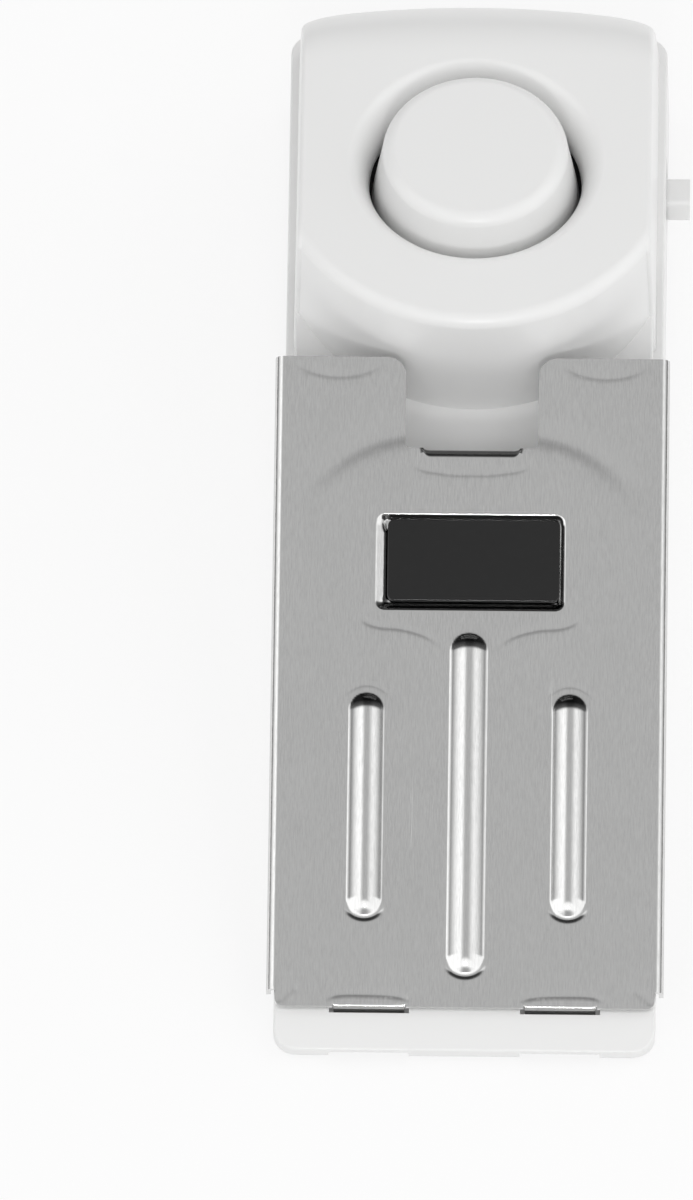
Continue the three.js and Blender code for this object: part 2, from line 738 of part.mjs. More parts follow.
const ribsOut = ribEnds.map(({ x, from, to }) =>
  capsule(x, from, to, rib.halfWidth, rib.rise, -halfSheet, rib.rise + overrun),
);
const ribsIn = ribEnds.map(({ x, from, to }) =>
  capsule(
    x,
    from + plateThickness,
    to - plateThickness,
    rib.halfWidth - plateThickness,
    rib.rise - halfSheet,
    -plateThickness - overrun,
    rib.rise - plateThickness,
  ),
);

// A shallow pan with sloping sides, wide at its top
function pan(halfX, from, to, depth, run, radius, top) {
  const halfY = (to - from) / 2;
  const geometry = raised(roundedRectangle(halfX, halfY, radius), -depth, top);
  const place = geometry.getAttribute("position");
  for (let i = 0; i < place.count; i++) {
    if (place.getZ(i) > -depth + run / 2) continue;
    place.setX(i, place.getX(i) * (1 - run / halfX));
    place.setY(i, place.getY(i) * (1 - run / halfY));
  }
  return solid(geometry.translate(0, (from + to) / 2, 0));
}

const panOut = pan(
  pocket.halfWidth,
  pocketFrom,
  pocketTo,
  pocket.depth + plateThickness,
  pocket.wallRun,
  pocket.corner,
  -halfSheet,
);
const panIn = pan(
  pocket.halfWidth - plateThickness / 2,
  pocketFrom + plateThickness / 2,
  pocketTo - plateThickness / 2,
  pocket.depth,
  pocket.wallRun,
  pocket.corner - plateThickness / 2,
  overrun,
);

const pressed = cut(join(overlap(channel, flangeLine), frontSheet, ...ribsOut, panOut), ...ribsIn, panIn);
const flatPlate = cut(pressed, notchCut, notchEase(-1), notchEase(1));
const laid = flatPlate.transform(layPlate.elements);

function sheetTab(points, x, halfWidth) {
  return across(ribbon(points, plateThickness), x - halfWidth, x + halfWidth);
}

const hingeTabs = [-1, 1].map((side) =>
  sheetTab(
    [plateAt(overrun, -halfSheet), plateAt(0, -halfSheet), hingeKnee, hookTip],
    side * hingeTab.centre,
    hingeTab.halfWidth,
  ),
);
const catchTab = sheetTab(
  [plateAt(tabAlong - overrun, -halfSheet), tabRoot, catchKnee, catchTip],
  0,
  tabHalfWidth,
);
piece("contact_plate", join(laid, ...hingeTabs, catchTab), brushedSteel);

// Name plate in the pocket, bare
const label = { halfWidth: 10.4, halfLong: 4.95, thickness: 0.4, corner: 0.7 };
const labelLow = -pocket.depth + seatGap;
const labelForm = placedOutline(
  roundedRectangle(label.halfWidth, label.halfLong, label.corner),
  0,
  (pocketFrom + pocketTo) / 2,
  labelLow,
  labelLow + label.thickness,
).transform(layPlate.elements);
piece("name_plate", labelForm, blackGloss);

// Return spring: one wire from a flat end coil to another, square to the slope
const coil = { radius: 2.9, wire: 0.28, turns: 4, stepShare: 1 / 8, sides: 5 };
const [panY, panZ] = plateAt((pocketFrom + pocketTo) / 2, -pocket.depth - plateThickness);
const panOverCup = panZ + (cupAlong - panY) * Math.tan(plateAngle);
const panRise = (panOverCup - slopeAt(cupAlong)) * Math.cos(cupAngle);
const coilTilt = (coil.radius + coil.wire) * Math.tan(radians(plateLift));
const coilTop = panRise - coilTilt - seatGap - coil.wire;
const coilLow = -cup.depth + seatGap + coil.wire;

function helix(low, high) {
  const rise = (high - low) / coil.turns;
  const lead = coil.wire * 2;
  const points = [];
  const start = new THREE.Vector3(coil.radius, -lead, low);
  points.push(start);
  const count = coil.turns / coil.stepShare;
  for (let i = 0; i <= count; i++) {
    const turn = (i / count) * coil.turns * 2 * Math.PI;
    const height = low + (rise * turn) / (2 * Math.PI);
    points.push(new THREE.Vector3(coil.radius * Math.cos(turn), coil.radius * Math.sin(turn), height));
  }
  points.push(new THREE.Vector3(coil.radius, lead, high));
  return points;
}

function tube(points, radius, sides) {
  const corners = [];
  const faces = [];
  points.forEach((point, i) => {
    const before = points[Math.max(i - 1, 0)];
    const after = points[Math.min(i + 1, points.length - 1)];
    const along = after.clone().sub(before).normalize();
    const out = new THREE.Vector3(point.x, point.y, 0).normalize();
    const up = along.clone().cross(out).normalize();
    const flat = up.clone().cross(along).normalize();
    for (let k = 0; k < sides; k++) {
      const turn = (k / sides) * 2 * Math.PI;
      const shift = flat.clone().multiplyScalar(radius * Math.cos(turn));
      corners.push(point.clone().add(shift).addScaledVector(up, radius * Math.sin(turn)));
    }
  });
  for (let i = 0; i + 1 < points.length; i++) {
    for (let k = 0; k < sides; k++) {
      const next = (k + 1) % sides;
      const [a, b, c, d] = [i * sides + k, i * sides + next, (i + 1) * sides + next, (i + 1) * sides + k];
      faces.push(a, b, c, a, c, d);
    }
  }
  const last = (points.length - 1) * sides;
  for (let k = 1; k + 1 < sides; k++) {
    faces.push(0, k + 1, k, last, last + k, last + k + 1);
  }
  const geometry = new THREE.BufferGeometry().setFromPoints(corners);
  geometry.setIndex(faces);
  return geometry;
}

const coilPoints = helix(coilLow, coilTop);
const perTurn = Math.round(1 / coil.stepShare);
const coilGap = coilPoints.slice(1, -1 - perTurn).reduce((least, point, i) => {
  const over = coilPoints[i + 1 + perTurn];
  return Math.min(least, point.distanceTo(over) - 2 * coil.wire);
}, Infinity);
console.log("least gap between the spring's turns", coilGap.toFixed(2), "mm");
piece("return_spring", onSlope(tube(coilPoints, coil.wire, coil.sides)), springSteel);

// Siren
const sirenRound = (points, steps) => turned(points, 0, headAxis, steps);
const knobTop = headHeight + knobRise;
const knobEdge = 2.1;
const knobWall = 1.5;
const knobArc = [0, 1, 2, 3, 4].map((i) => {
  const turn = (i * Math.PI) / 8;
  return [cap.topRadius - knobEdge * (1 - Math.cos(turn)), knobTop - knobEdge * (1 - Math.sin(turn))];
});
const knob = sirenRound(
  [
    [0, knobTop - knobWall],
    [cap.topRadius - knobEdge - knobWall / 2, knobTop - knobWall],
    [cap.footRadius - knobWall, capLow],
    [cap.footRadius, capLow],
    ...knobArc,
    [0, knobTop],
  ],
  wideSteps,
);
const capTop = capLow + cap.ringThickness;
const capRing = ring(cap.ringInner, cap.ringOuter, 0, headAxis, capLow, capTop, wideSteps);
const capWeb = 2.4;
const webReach = cap.ringInner + overrun / 2;
const capLimit = ring(cap.footRadius - knobWall, webReach, 0, headAxis, capLow, capTop, wideSteps);
const capTurn = 45;
const capCross = join(
  block([-webReach, webReach], [-capWeb / 2, capWeb / 2], [capLow, capTop]),
  block([-capWeb / 2, capWeb / 2], [-webReach, webReach], [capLow, capTop]),
).rotate([0, 0, capTurn]).translate([0, headAxis, 0]);
piece("siren_cap", join(knob, capRing, overlap(capCross, capLimit)), whitePlastic);

piece(
  "siren_gasket",
  ring(gasket.inner, gasket.outer, 0, headAxis, gasketLow, gasketLow + gasket.thickness, wideSteps / 2),
  darkFoam,
);
piece("piezo_disc", rod(disc.radius, 0, headAxis, discLow, discLow + disc.thickness, wideSteps / 2), brass);
piece(
  "piezo_ceramic",
  rod(ceramic.radius, 0, headAxis, discLow - seatGap - ceramic.thickness, discLow - seatGap, wideSteps / 2),
  ceramicWhite,
);

const holderCup = sirenRound(
  [
    [holder.port, holderLow],
    [holder.rimOuter, holderLow],
    [holder.rimOuter, shelfTop + holder.rimHigh],
    [holder.rimInner, shelfTop + holder.rimHigh],
    [holder.rimInner, shelfTop],
    [holder.shelfInner, shelfTop],
    [holder.shelfInner, holderLow + holder.base],
    [holder.port, holderLow + holder.base],
    [holder.port, holderLow],
  ],
  wideSteps / 2,
);
const holderEars = earPlaces.map(([x, y]) =>
  rod(earRadius, x, y, holderLow, holderLow + holder.base, smallSteps),
);
const holderBores = earPlaces.map(([x, y]) =>
  rod(earScrew.shank + seatGap, x, y, holderLow - overrun, holderLow + holder.base + overrun, smallSteps),
);
const bossRoomCuts = earPlaces.map(([x, y]) =>
  rod(earRadius + seatGap, x, y, holderLow + holder.base, shelfTop + holder.rimHigh + overrun, smallSteps),
);
piece("piezo_holder", cut(join(holderCup, ...holderEars), ...holderBores, ...bossRoomCuts), blackPlastic);

// A cross-head screw whose head's underside lies at height seat, pointing up
function screwForm(size, x, y, seat, cross, reach) {
  const body = turned(
    [
      [0, seat - size.headHeight],
      [size.head, seat - size.headHeight],
      [size.head, seat],
      [size.shank, seat],
      [size.shank, seat + size.length - size.shank],
      [0, seat + size.length],
    ],
    x,
    y,
    smallSteps,
  );
  const depth = [seat - size.headHeight - overrun, seat - size.headHeight / 2];
  return cut(
    body,
    block([x - reach, x + reach], [y - cross / 2, y + cross / 2], depth),
    block([x - cross / 2, x + cross / 2], [y - reach, y + reach], depth),
  );
}

screwPlaces.forEach(([x, y], i) => {
  piece(
    `housing_screw_${i + 1}`,
    screwForm(screw, x, y, screwFloor - seatGap, screw.cross, screw.crossReach),
    zincSteel,
  );
});
earPlaces.forEach(([x, y], i) => {
  const form = screwForm(earScrew, x, y, holderLow - seatGap, screw.cross, earScrew.head / 2);
  piece(`holder_screw_${i + 1}`, form, zincSteel);
});

// Battery, its snap connector, foam and door
const cellCorner = 2;
function alongBay(shape, from, to, x, z) {
  const form = { depth: to - from, bevelEnabled: false, curveSegments: 3 };
  return solid(new THREE.ExtrudeGeometry(shape, form).rotateX(Math.PI / 2).translate(x, to, z));
}
const cellForm = alongBay(
  roundedRectangle(cell.width / 2, cell.height / 2, cellCorner),
  cellFront,
  cellBack,
  0,
  studHigh,
);
piece("battery", cellForm, cellJacket);

function studForm(radius, x) {
  const turning = new THREE.CylinderGeometry(radius, radius, stud.height - seatGap, smallSteps);
  return solid(turning.translate(x, cellFront - seatGap - (stud.height - seatGap) / 2, studHigh));
}
const studX = stud.spacing / 2;
piece("battery_terminal_positive", studForm(stud.snapRadius, studX), zincSteel);
piece("battery_terminal_negative", studForm(stud.socketRadius, -studX), zincSteel);

const snapBack = cellFront - seatGap;
const snapFront = snapBack - snap.thickness;
function snapHole(radius, x) {
  const bore = radius + seatGap;
  const turning = new THREE.CylinderGeometry(bore, bore, stud.height + overrun, smallSteps);
  return solid(turning.translate(x, cellFront - (3 * seatGap + stud.height - overrun) / 2, studHigh));
}
const snapForm = cut(
  alongBay(roundedRectangle(snap.halfWidth, snap.halfHeight, cellCorner), snapFront, snapBack, 0, studHigh),
  snapHole(stud.snapRadius, studX),
  snapHole(stud.socketRadius, -studX),
);
piece("battery_snap", snapForm, blackPlastic);

piece(
  "battery_foam",
  block(
    [-foam.halfWidth, foam.halfWidth],
    [headAxis + foam.behindAxis - foam.halfLong, headAxis + foam.behindAxis + foam.halfLong],
    [cellTop + seatGap, cellTop + seatGap + foam.thickness],
  ),
  darkFoam,
);

const doorFlangeLow = floorTop - doorEdge - seatGap;
const doorHalf = doorwayHalf - seatGap;
const doorLong = [doorStart + seatGap, length + overrun];
const doorPlan = prism(planOutline(0, 0), padProud, floorTop);
const grip = { count: 5, pitch: 2.6, width: 1, depth: 0.4, halfLong: 8, fromRear: 8 };
const gripGrooves = Array.from({ length: grip.count }, (_, i) => {
  const y = length - grip.fromRear - i * grip.pitch;
  const depth = [padProud - overrun, padProud + grip.depth];
  return block([-grip.halfLong, grip.halfLong], [y - grip.width, y], depth);
});
const doorForm = cut(
  overlap(
    join(
      block([-doorHalf, doorHalf], doorLong, [padProud, floorTop]),
      block([-doorHalf - doorRim, doorHalf + doorRim], doorLong, [doorFlangeLow, floorTop - seatGap / 2]),
    ),
    doorPlan,
    block([-rearHalfWidth, rearHalfWidth], [0, length + overrun], [padProud, floorTop - seatGap / 2]),
  ),
  ...gripGrooves,
);
piece("battery_door", doorForm, whitePlastic);

// Grip pads under the wedge
function padForm(x, y, halfX, halfY, radius, thickness) {
  return solid(raised(roundedRectangle(halfX, halfY, radius), 0, thickness).translate(x, y, 0));
}
piece("grip_pad_front", padForm(0, padMiddle, pad.halfWidth, padHalf, pad.radius, pad.thickness), greyRubber);
[["grip_pad_left", -1], ["grip_pad_right", 1]].forEach(([name, side]) => {
  const halfLong = rearPad.long / 2;
  const x = side * rearPadX;
  const form = padForm(x, rearPadMiddle, rearPad.halfWidth, halfLong, rearPad.radius, rearPad.thickness);
  piece(name, form, greyRubber);
});

// Slide switch
const toggleHigh = toggle.low + toggle.high;
const knobOut = sideAt(toggleAt) + toggle.proud;
const toggleKnobCorner = 0.5;
const toggleStem = prism(
  roundedRectangle(toggle.high / 2, toggle.long / 2, toggleKnobCorner),
  wallInside - seatGap,
  knobOut,
);
const layStem = new THREE.Matrix4()
  .makeTranslation(0, toggleAt, (toggle.low + toggleHigh) / 2)
  .multiply(new THREE.Matrix4().makeBasis(
    new THREE.Vector3(0, 0, -1),
    new THREE.Vector3(0, 1, 0),
    new THREE.Vector3(1, 0, 0),
  ));
const toggleFlange = block(
  [wallInside - toggle.flange, wallInside - seatGap / 2],
  [slotEnds[0] - toggle.travel, toggleAt + toggle.long],
  [toggle.low - toggleBody.skirt, toggleHigh + toggleBody.skirt],
);
piece("slide_switch_knob", join(toggleStem.transform(layStem.elements), toggleFlange), whitePlastic);
const bodyOut = wallInside - toggle.flange - seatGap;
piece(
  "slide_switch_body",
  block(
    [bodyOut - toggleBody.depth, bodyOut],
    toggleBodyEnds,
    [toggle.low - toggleBody.skirt, toggleHigh + toggleBody.skirt],
  ),
  blackPlastic,
);

// Circuit board and what is soldered to it
const boardCorner = 1.5;
const boardMiddle = (board.start + boardEnd) / 2;
const boardCuts = screwPlaces.map(([x, y]) =>
  rod(bossRadius + seatGap, x, y, boardUnder - overrun, boardTop + overrun, smallSteps),
);
const boardHoles = boardScrewPlaces.map(([x, y]) =>
  rod(boardScrew.shank + seatGap, x, y, boardUnder - overrun, boardTop + overrun, smallSteps),
);
const boardForm = cut(
  placedOutline(
    roundedRectangle(board.halfWidth, (boardEnd - board.start) / 2, boardCorner),
    0,
    boardMiddle,
    boardUnder,
    boardTop,
  ),
  ...boardCuts,
  ...boardHoles,
);
piece("circuit_board", boardForm, greenBoard);

boardScrewPlaces.forEach(([x, y], i) => {
  const seat = boardTop + seatGap;
  const form = turned(
    [
      [0, seat - boardScrew.length],
      [boardScrew.shank, seat - boardScrew.length],
      [boardScrew.shank, seat],
      [boardScrew.head, seat],
      [boardScrew.head, seat + boardScrew.headHeight / 2],
      [0, seat + boardScrew.headHeight],
    ],
    x,
    y,
    smallSteps,
  );
  piece(`board_screw_${i + 1}`, form, zincSteel);
});

// Trigger switch under the catch: its lever swings about a pivot on the body and presses the button
const trigger = { halfWidth: 2.9, bodyHigh: 3.4, bodyLong: 8.4, pivotBack: 10.4, pivotRise: 2.4 };
const lever = { halfWidth: 2, thickness: 0.4 };
const button = { radius: 1, fromPivot: 3.6, wellFloor: 1.2 };
const onBoard = boardTop + seatGap;
const leverEnd = [(catchKnee[0] + catchTip[0]) / 2, catchTip[1] - halfSheet - seatGap - lever.thickness / 2];
const leverPivot = [leverEnd[0] - trigger.pivotBack, onBoard + trigger.bodyHigh + trigger.pivotRise];
const pivotRadius = 0.6;
const triggerFront = leverPivot[0] - pivotRadius - seatGap;
const postTop = leverPivot[1] - pivotRadius - seatGap;
const buttonAt = leverPivot[0] + button.fromPivot;
const leverRise = (leverEnd[1] - leverPivot[1]) / (leverEnd[0] - leverPivot[0]);
const leverOverButton = leverPivot[1] + leverRise * (button.fromPivot - button.radius) - lever.thickness;
const buttonTop = leverOverButton - seatGap;
const buttonWell = onBoard + button.wellFloor;
const bodyTop = onBoard + trigger.bodyHigh;
const triggerWide = [-trigger.halfWidth, trigger.halfWidth];
const triggerBody = cut(
  join(
    block(triggerWide, [triggerFront, triggerFront + trigger.bodyLong], [onBoard, bodyTop]),
    block(triggerWide, [triggerFront, triggerFront + 2 * pivotRadius], [onBoard, postTop]),
  ),
  rod(button.radius + seatGap, 0, buttonAt, buttonWell, bodyTop + overrun, smallSteps),
);
piece("trigger_switch_body", triggerBody, blackPlastic);
const buttonDown = buttonWell + seatGap + button.radius;
piece("trigger_switch_button", rod(button.radius, 0, buttonAt, buttonDown, buttonTop, smallSteps), redSleeve);
const leverArm = across(ribbon([leverPivot, leverEnd], lever.thickness), -lever.halfWidth, lever.halfWidth);
const leverEye = solid(
  new THREE.CylinderGeometry(pivotRadius, pivotRadius, 2 * lever.halfWidth, smallSteps)
    .rotateZ(Math.PI / 2)
    .translate(0, ...leverPivot),
);
piece("trigger_switch_lever", join(leverArm, leverEye), springSteel);

// Small parts on the board
const chip = { halfX: 3, halfY: 2.5, high: 1.4, x: -7 };
const chipAlongShare = 0.38;
const chipAt = board.start + chipAlongShare * (boardEnd - board.start);
piece(
  "controller_chip",
  block(
    [chip.x - chip.halfX, chip.x + chip.halfX],
    [chipAt - chip.halfY, chipAt + chip.halfY],
    [onBoard, onBoard + chip.high],
  ),
  blackPlastic,
);
const boost = { radius: 3.6, flange: 0.8, underDeck: 2.2, x: 11 };
const boostAt = boardEnd - boost.radius - overrun;
const boostTop = deckUnder(boostAt - boost.radius) - boost.underDeck;
piece(
  "boost_coil",
  turned(
    [
      [0, onBoard],
      [boost.radius, onBoard],
      [boost.radius, onBoard + boost.flange],
      [boost.radius - boost.flange, onBoard + boost.flange],
      [boost.radius - boost.flange, boostTop - boost.flange],
      [boost.radius, boostTop - boost.flange],
      [boost.radius, boostTop],
      [0, boostTop],
    ],
    boost.x,
    boostAt,
    roundSteps,
  ),
  copperEnamel,
);
const can = { radius: 2.5, underDeck: 2.4, x: 6.2 };
const canAt = boardEnd - can.radius - overrun;
piece(
  "capacitor",
  rod(can.radius, -can.x, canAt, onBoard, deckUnder(canAt - can.radius) - can.underDeck, roundSteps),
  cellJacket,
);
const driver = { radius: 2.2, high: 4.2, x: 5.7 };
const driverFlatShare = 0.55;
const driverAt = boostAt - boost.radius - driver.radius - overrun;
piece(
  "siren_transistor",
  overlap(
    rod(driver.radius, driver.x, driverAt, onBoard, onBoard + driver.high, roundSteps),
    block(
      [driver.x - driver.radius, driver.x + driver.radius],
      [driverAt - driver.radius * driverFlatShare, driverAt + driver.radius],
      [onBoard, onBoard + driver.high],
    ),
  ),
  blackPlastic,
);

// Wires from the snap connector, the siren and the slide switch to the board, by hand-laid routes
const sleeve = 0.55;
const wireSteps = 15;
const landing = onBoard + sleeve;
const solder = boardEnd - overrun;
const pair = [["red", 1, redSleeve], ["black", -1, blackSleeve]];
pair.forEach(([color, side, material]) => {
  const route = [
    [side * 9, snapFront - seatGap, studHigh - 3],
    [side * 9.2, snapFront - 3, studHigh - 3.2],
    [side * 9.4, catchKnee[0] + 1, landing + 0.6],
    [side * 9.2, solder + 2.6, landing],
    [side * 9.1, solder + 0.4, landing],
  ];
  piece(`battery_wire_${color}`, wire(route, sleeve, wireSteps), material);
});
pair.forEach(([color, side, material]) => {
  const below = holderLow - seatGap - 2 * sleeve;
  const beside = cell.width / 2 + 3;
  const route = [
    [side * 1.3, headAxis, discLow - 2 * seatGap - ceramic.thickness],
    [side * 1.5, headAxis - 0.3, holderLow],
    [side * 4, headAxis - 3, below],
    [side * (beside - 4), headAxis - 9, below],
    [side * beside, headAxis - 12, cellTop - 4],
    [side * beside, headAxis - 16, studHigh],
    [side * (beside - 2), headAxis - 22, landing + 3.5],
    [side * (beside - 4.3), solder + 3.6, landing + 0.5],
    [side * (beside - 4.6), solder + 0.4, landing],
  ];
  piece(`siren_wire_${color}`, wire(route, sleeve, 2 * wireSteps), material);
});
[["switch_wire_inner", 0], ["switch_wire_outer", 1]].forEach(([name, lane]) => {
  const x = bodyOut - toggleBody.depth / 2 - 0.9 + lane * 1.8;
  const low = floorTop + 2 * seatGap + sleeve;
  const start = toggleBodyEnds[0] - seatGap;
  const route = [
    [x, start, toggle.low + 1],
    [x, start - 2, toggle.low + 0.8],
    [x, start - 7, low + 0.2],
    [x, start - 16, low],
    [x, solder + 10, low + 0.3],
    [x - 1.5, solder + 5, landing + 0.2],
    [board.halfWidth - 2.6 + lane * 1.8, solder + 0.4, landing],
  ];
  piece(name, wire(route, sleeve, 2 * wireSteps), lane ? redSleeve : blackSleeve);
});

export default part;
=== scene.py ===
import math
from functools import partial
import bmesh
import bpy
from mathutils import Matrix, Vector
from mathutils.geometry import delaunay_2d_cdt


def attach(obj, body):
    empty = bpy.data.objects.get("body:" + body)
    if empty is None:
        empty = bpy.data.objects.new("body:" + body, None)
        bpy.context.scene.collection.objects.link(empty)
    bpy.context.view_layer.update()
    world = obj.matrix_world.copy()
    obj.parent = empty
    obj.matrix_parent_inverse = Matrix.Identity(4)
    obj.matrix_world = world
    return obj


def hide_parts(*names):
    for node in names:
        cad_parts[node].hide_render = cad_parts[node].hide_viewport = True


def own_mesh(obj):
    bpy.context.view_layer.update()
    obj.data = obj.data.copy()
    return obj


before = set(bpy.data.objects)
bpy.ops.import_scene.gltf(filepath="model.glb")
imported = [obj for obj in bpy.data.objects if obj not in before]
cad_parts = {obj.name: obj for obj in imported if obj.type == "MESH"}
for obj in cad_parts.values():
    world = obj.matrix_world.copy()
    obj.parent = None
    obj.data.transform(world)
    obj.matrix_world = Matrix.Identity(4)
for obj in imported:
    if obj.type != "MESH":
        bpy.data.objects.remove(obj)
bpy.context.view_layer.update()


# Lower shell: the tub of the wedge with its side walls, its solid nose and the ledge round the head.
# It is one injection moulding in off-white ABS, and every outer edge leaves the tool with a small round.
to_metres = Matrix.Scale(0.001, 4)
collection = bpy.context.scene.collection


def node_of(tree, kind, settings=None, **values):
    fresh = tree.nodes.new(kind)
    for key, value in (settings or {}).items():
        setattr(fresh, key, value)
    for key, value in values.items():
        socket = fresh.inputs[int(key[1:]) if key[1:].isdigit() else key.replace("_", " ")]
        if isinstance(value, bpy.types.NodeSocket):
            tree.links.new(value, socket)
        else:
            socket.default_value = value
    return fresh


def shader_node(tree, kind, settings=None, **values):
    return node_of(tree, "ShaderNode" + kind, settings, **values)


def blank_finish(name, roughness, metallic=0.0):
    material = bpy.data.materials.new(name)
    material.use_nodes = True
    tree = material.node_tree
    shader = tree.nodes["Principled BSDF"]
    for label, value in (("Roughness", roughness), ("Metallic", metallic), ("IOR", 1.5)):
        shader.inputs[label].default_value = value
    place = shader_node(tree, "TexCoord").outputs["Object"]
    return material, tree, shader, place


def noise(tree, place, scale, detail, roughness=0.5):
    cloud = shader_node(tree, "TexNoise", Vector=place, Scale=scale, Detail=detail, Roughness=roughness)
    return cloud.outputs["Fac"]


def stretched(tree, place, scale, turn=0.0):
    return shader_node(tree, "Mapping", Vector=place, Scale=scale, Rotation=(0.0, 0.0, turn)).outputs["Vector"]


def varied(tree, source, low, high, low_at=0.35, high_at=0.65, rise="LINEAR"):
    limits = {"From_Min": low_at, "From_Max": high_at, "To_Min": low, "To_Max": high}
    return shader_node(tree, "MapRange", {"interpolation_type": rise}, Value=source, **limits).outputs["Result"]


def mixed(tree, share, first, second):
    return shader_node(tree, "Mix", {"data_type": "RGBA"}, _0=share, _6=first, _7=second).outputs[2]


def tinted(tree, source, first, second):
    return mixed(tree, source, (*first, 1), (*second, 1))


def bumped(tree, height, strength, distance, over=None, invert=False):
    under = {} if over is None else {"Normal": over}
    sizes = {"Height": height, "Strength": strength, "Distance": distance}
    bump = shader_node(tree, "Bump", {"invert": invert}, **sizes, **under)
    return bump.outputs["Normal"]


def fed(tree, shader, color, rough, normal=None):
    for label, source in (("Base Color", color), ("Roughness", rough), ("Normal", normal)):
        if source is not None:
            tree.links.new(source, shader.inputs[label])


def moulded_plastic(name, color, shade, roughness):
    material, tree, shader, place = blank_finish(name, roughness)
    flow, haze = noise(tree, place, 60.0, 2.0), noise(tree, place, 420.0, 4.0)
    sink = bumped(tree, flow, 0.15, 0.0002)
    grain = bumped(tree, noise(tree, place, 5200.0, 3.0, 0.6), 0.12, 0.00002, sink)
    rough = varied(tree, haze, roughness - 0.012, roughness + 0.012)
    fed(tree, shader, tinted(tree, flow, color, shade), rough, grain)
    return material


def settled(piece):
    # The evaluated shape becomes the piece's own mesh, with no modifier left on it
    bpy.context.view_layer.update()
    shaped = bpy.data.meshes.new_from_object(piece.evaluated_get(bpy.context.evaluated_depsgraph_get()))
    piece.modifiers.clear()
    piece.data = shaped
    return piece


def softened(piece, sharp=32):
    piece.data.shade_smooth()
    piece.data.set_sharp_from_angle(angle=math.radians(sharp))
    weigh = piece.modifiers.new("normals", "WEIGHTED_NORMAL")
    weigh.keep_sharp = True
    return settled(piece)


def dressed(piece, material, body, *stands_for):
    # The piece wears the one finish, rides its body and hides the CAD parts it stands for; Blender adds a
    # number to a finish's name where model.glb's own finish has that name
    piece.data.materials.clear()
    piece.data.materials.append(material)
    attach(piece, body)
    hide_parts(*stands_for)


def eased_copy(node, name, width, segments=2, sharp=32):
    form = bmesh.new()
    form.from_mesh(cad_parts[node].data)
    bmesh.ops.remove_doubles(form, verts=form.verts, dist=2e-6)
    bmesh.ops.dissolve_limit(form, angle_limit=math.radians(0.6), verts=form.verts, edges=form.edges)
    weight = form.edges.layers.float.new("bevel_weight_edge")
    for edge in form.edges:
        if len(edge.link_faces) == 2 and edge.calc_face_angle() > math.radians(sharp):
            near = min(side.calc_length() for corner in edge.verts for side in corner.link_edges)
            edge[weight] = min(1.0, 0.38 * near / width)
    mesh = bpy.data.meshes.new(name)
    form.to_mesh(mesh)
    form.free()
    piece = bpy.data.objects.new(name, mesh)
    collection.objects.link(piece)
    ease = piece.modifiers.new("edges", "BEVEL")
    ease.limit_method = "WEIGHT"
    ease.width = width
    ease.segments = segments
    ease.use_clamp_overlap = False
    return softened(settled(piece), sharp)


def copied(node, name, width, material, body="root", segments=2, sharp=32):
    dressed(eased_copy(node, name, width, segments, sharp), material, body, node)


white_plastic = moulded_plastic("white_plastic", (0.86, 0.86, 0.855), (0.852, 0.852, 0.847), 0.29)
nose, long = -72.0, 144.0
slope_angle = math.radians(11.6)
slope = math.tan(slope_angle)
deck_thickness, shell_wall, tub_floor = 1.6, 1.8, 2.6
tub_low, rim_level = 0.4, 13.5
tub_half, tub_draft, rear_bow = 23.1, 0.25, 1.7
screw_out, screw_rows = 17.9, (34, 137)
board_posts = ((10.1, 36.6), (-11.9, 66.49))
front_pad_at, rear_pad_out, rear_pad_at = 45.0, 18.825, 112.8
hinge_at = 11.35


def slope_at(y):
    return 2.0 + slope * y


def deck_under(y):
    return slope_at(y) - deck_thickness / math.cos(slope_angle)


def made(name, corners, faces):
    mesh = bpy.data.meshes.new(name)
    mesh.from_pydata([tuple(corner) for corner in corners], [], faces)
    mesh.transform(to_metres @ Matrix.Translation((0, nose, 0)))
    form = bmesh.new()
    form.from_mesh(mesh)
    bmesh.ops.remove_doubles(form, verts=form.verts, dist=1e-7)
    bmesh.ops.recalc_face_normals(form, faces=form.faces)
    form.to_mesh(mesh)
    form.free()
    piece = bpy.data.objects.new(name, mesh)
    collection.objects.link(piece)
    return piece


def combined(base, operation, *tools):
    for tool in tools:
        step = base.modifiers.new(operation, "BOOLEAN")
        step.operation = operation
        step.solver = "EXACT"
        step.object = tool
    settled(base)
    for tool in tools:
        bpy.data.objects.remove(tool)
    return base


def drawn_in(loop, inset):
    # A closed outline moved inward by an inset, its corners mitred
    count = len(loop)
    area = sum(loop[i - 1][0] * loop[i][1] - loop[i][0] * loop[i - 1][1] for i in range(count))
    sign = 1 if area > 0 else -1
    moved = []
    for i in range(count):
        before, here, after = Vector(loop[i - 1]), Vector(loop[i]), Vector(loop[(i + 1) % count])
        into, out = (here - before).normalized(), (after - here).normalized()
        first, second = Vector((-into.y, into.x)), Vector((-out.y, out.x))
        along = (first + second).normalized()
        moved.append(here + along * sign * inset / max(along.dot(first), 0.3))
    return [(point.x, point.y) for point in moved]


def rim_steps(ease, steps=4):
    # How far each level of a rounded rim is from the end and in from the side, beginning at the side
    turns = [math.pi / 2 * i / steps for i in range(steps + 1)] if ease else [0.0]
    return [(ease * (1 - math.sin(turn)), ease * (1 - math.cos(turn))) for turn in turns]


def banded(count, levels):
    # The faces between outlines of count points, one above the other, and the lowest outline's own face
    faces = []
    for i in range(levels - 1):
        for j in range(count):
            a, b = i * count + j, i * count + (j + 1) % count
            faces.append((a, b, b + count, a + count))
    return faces + [tuple(range(count))]


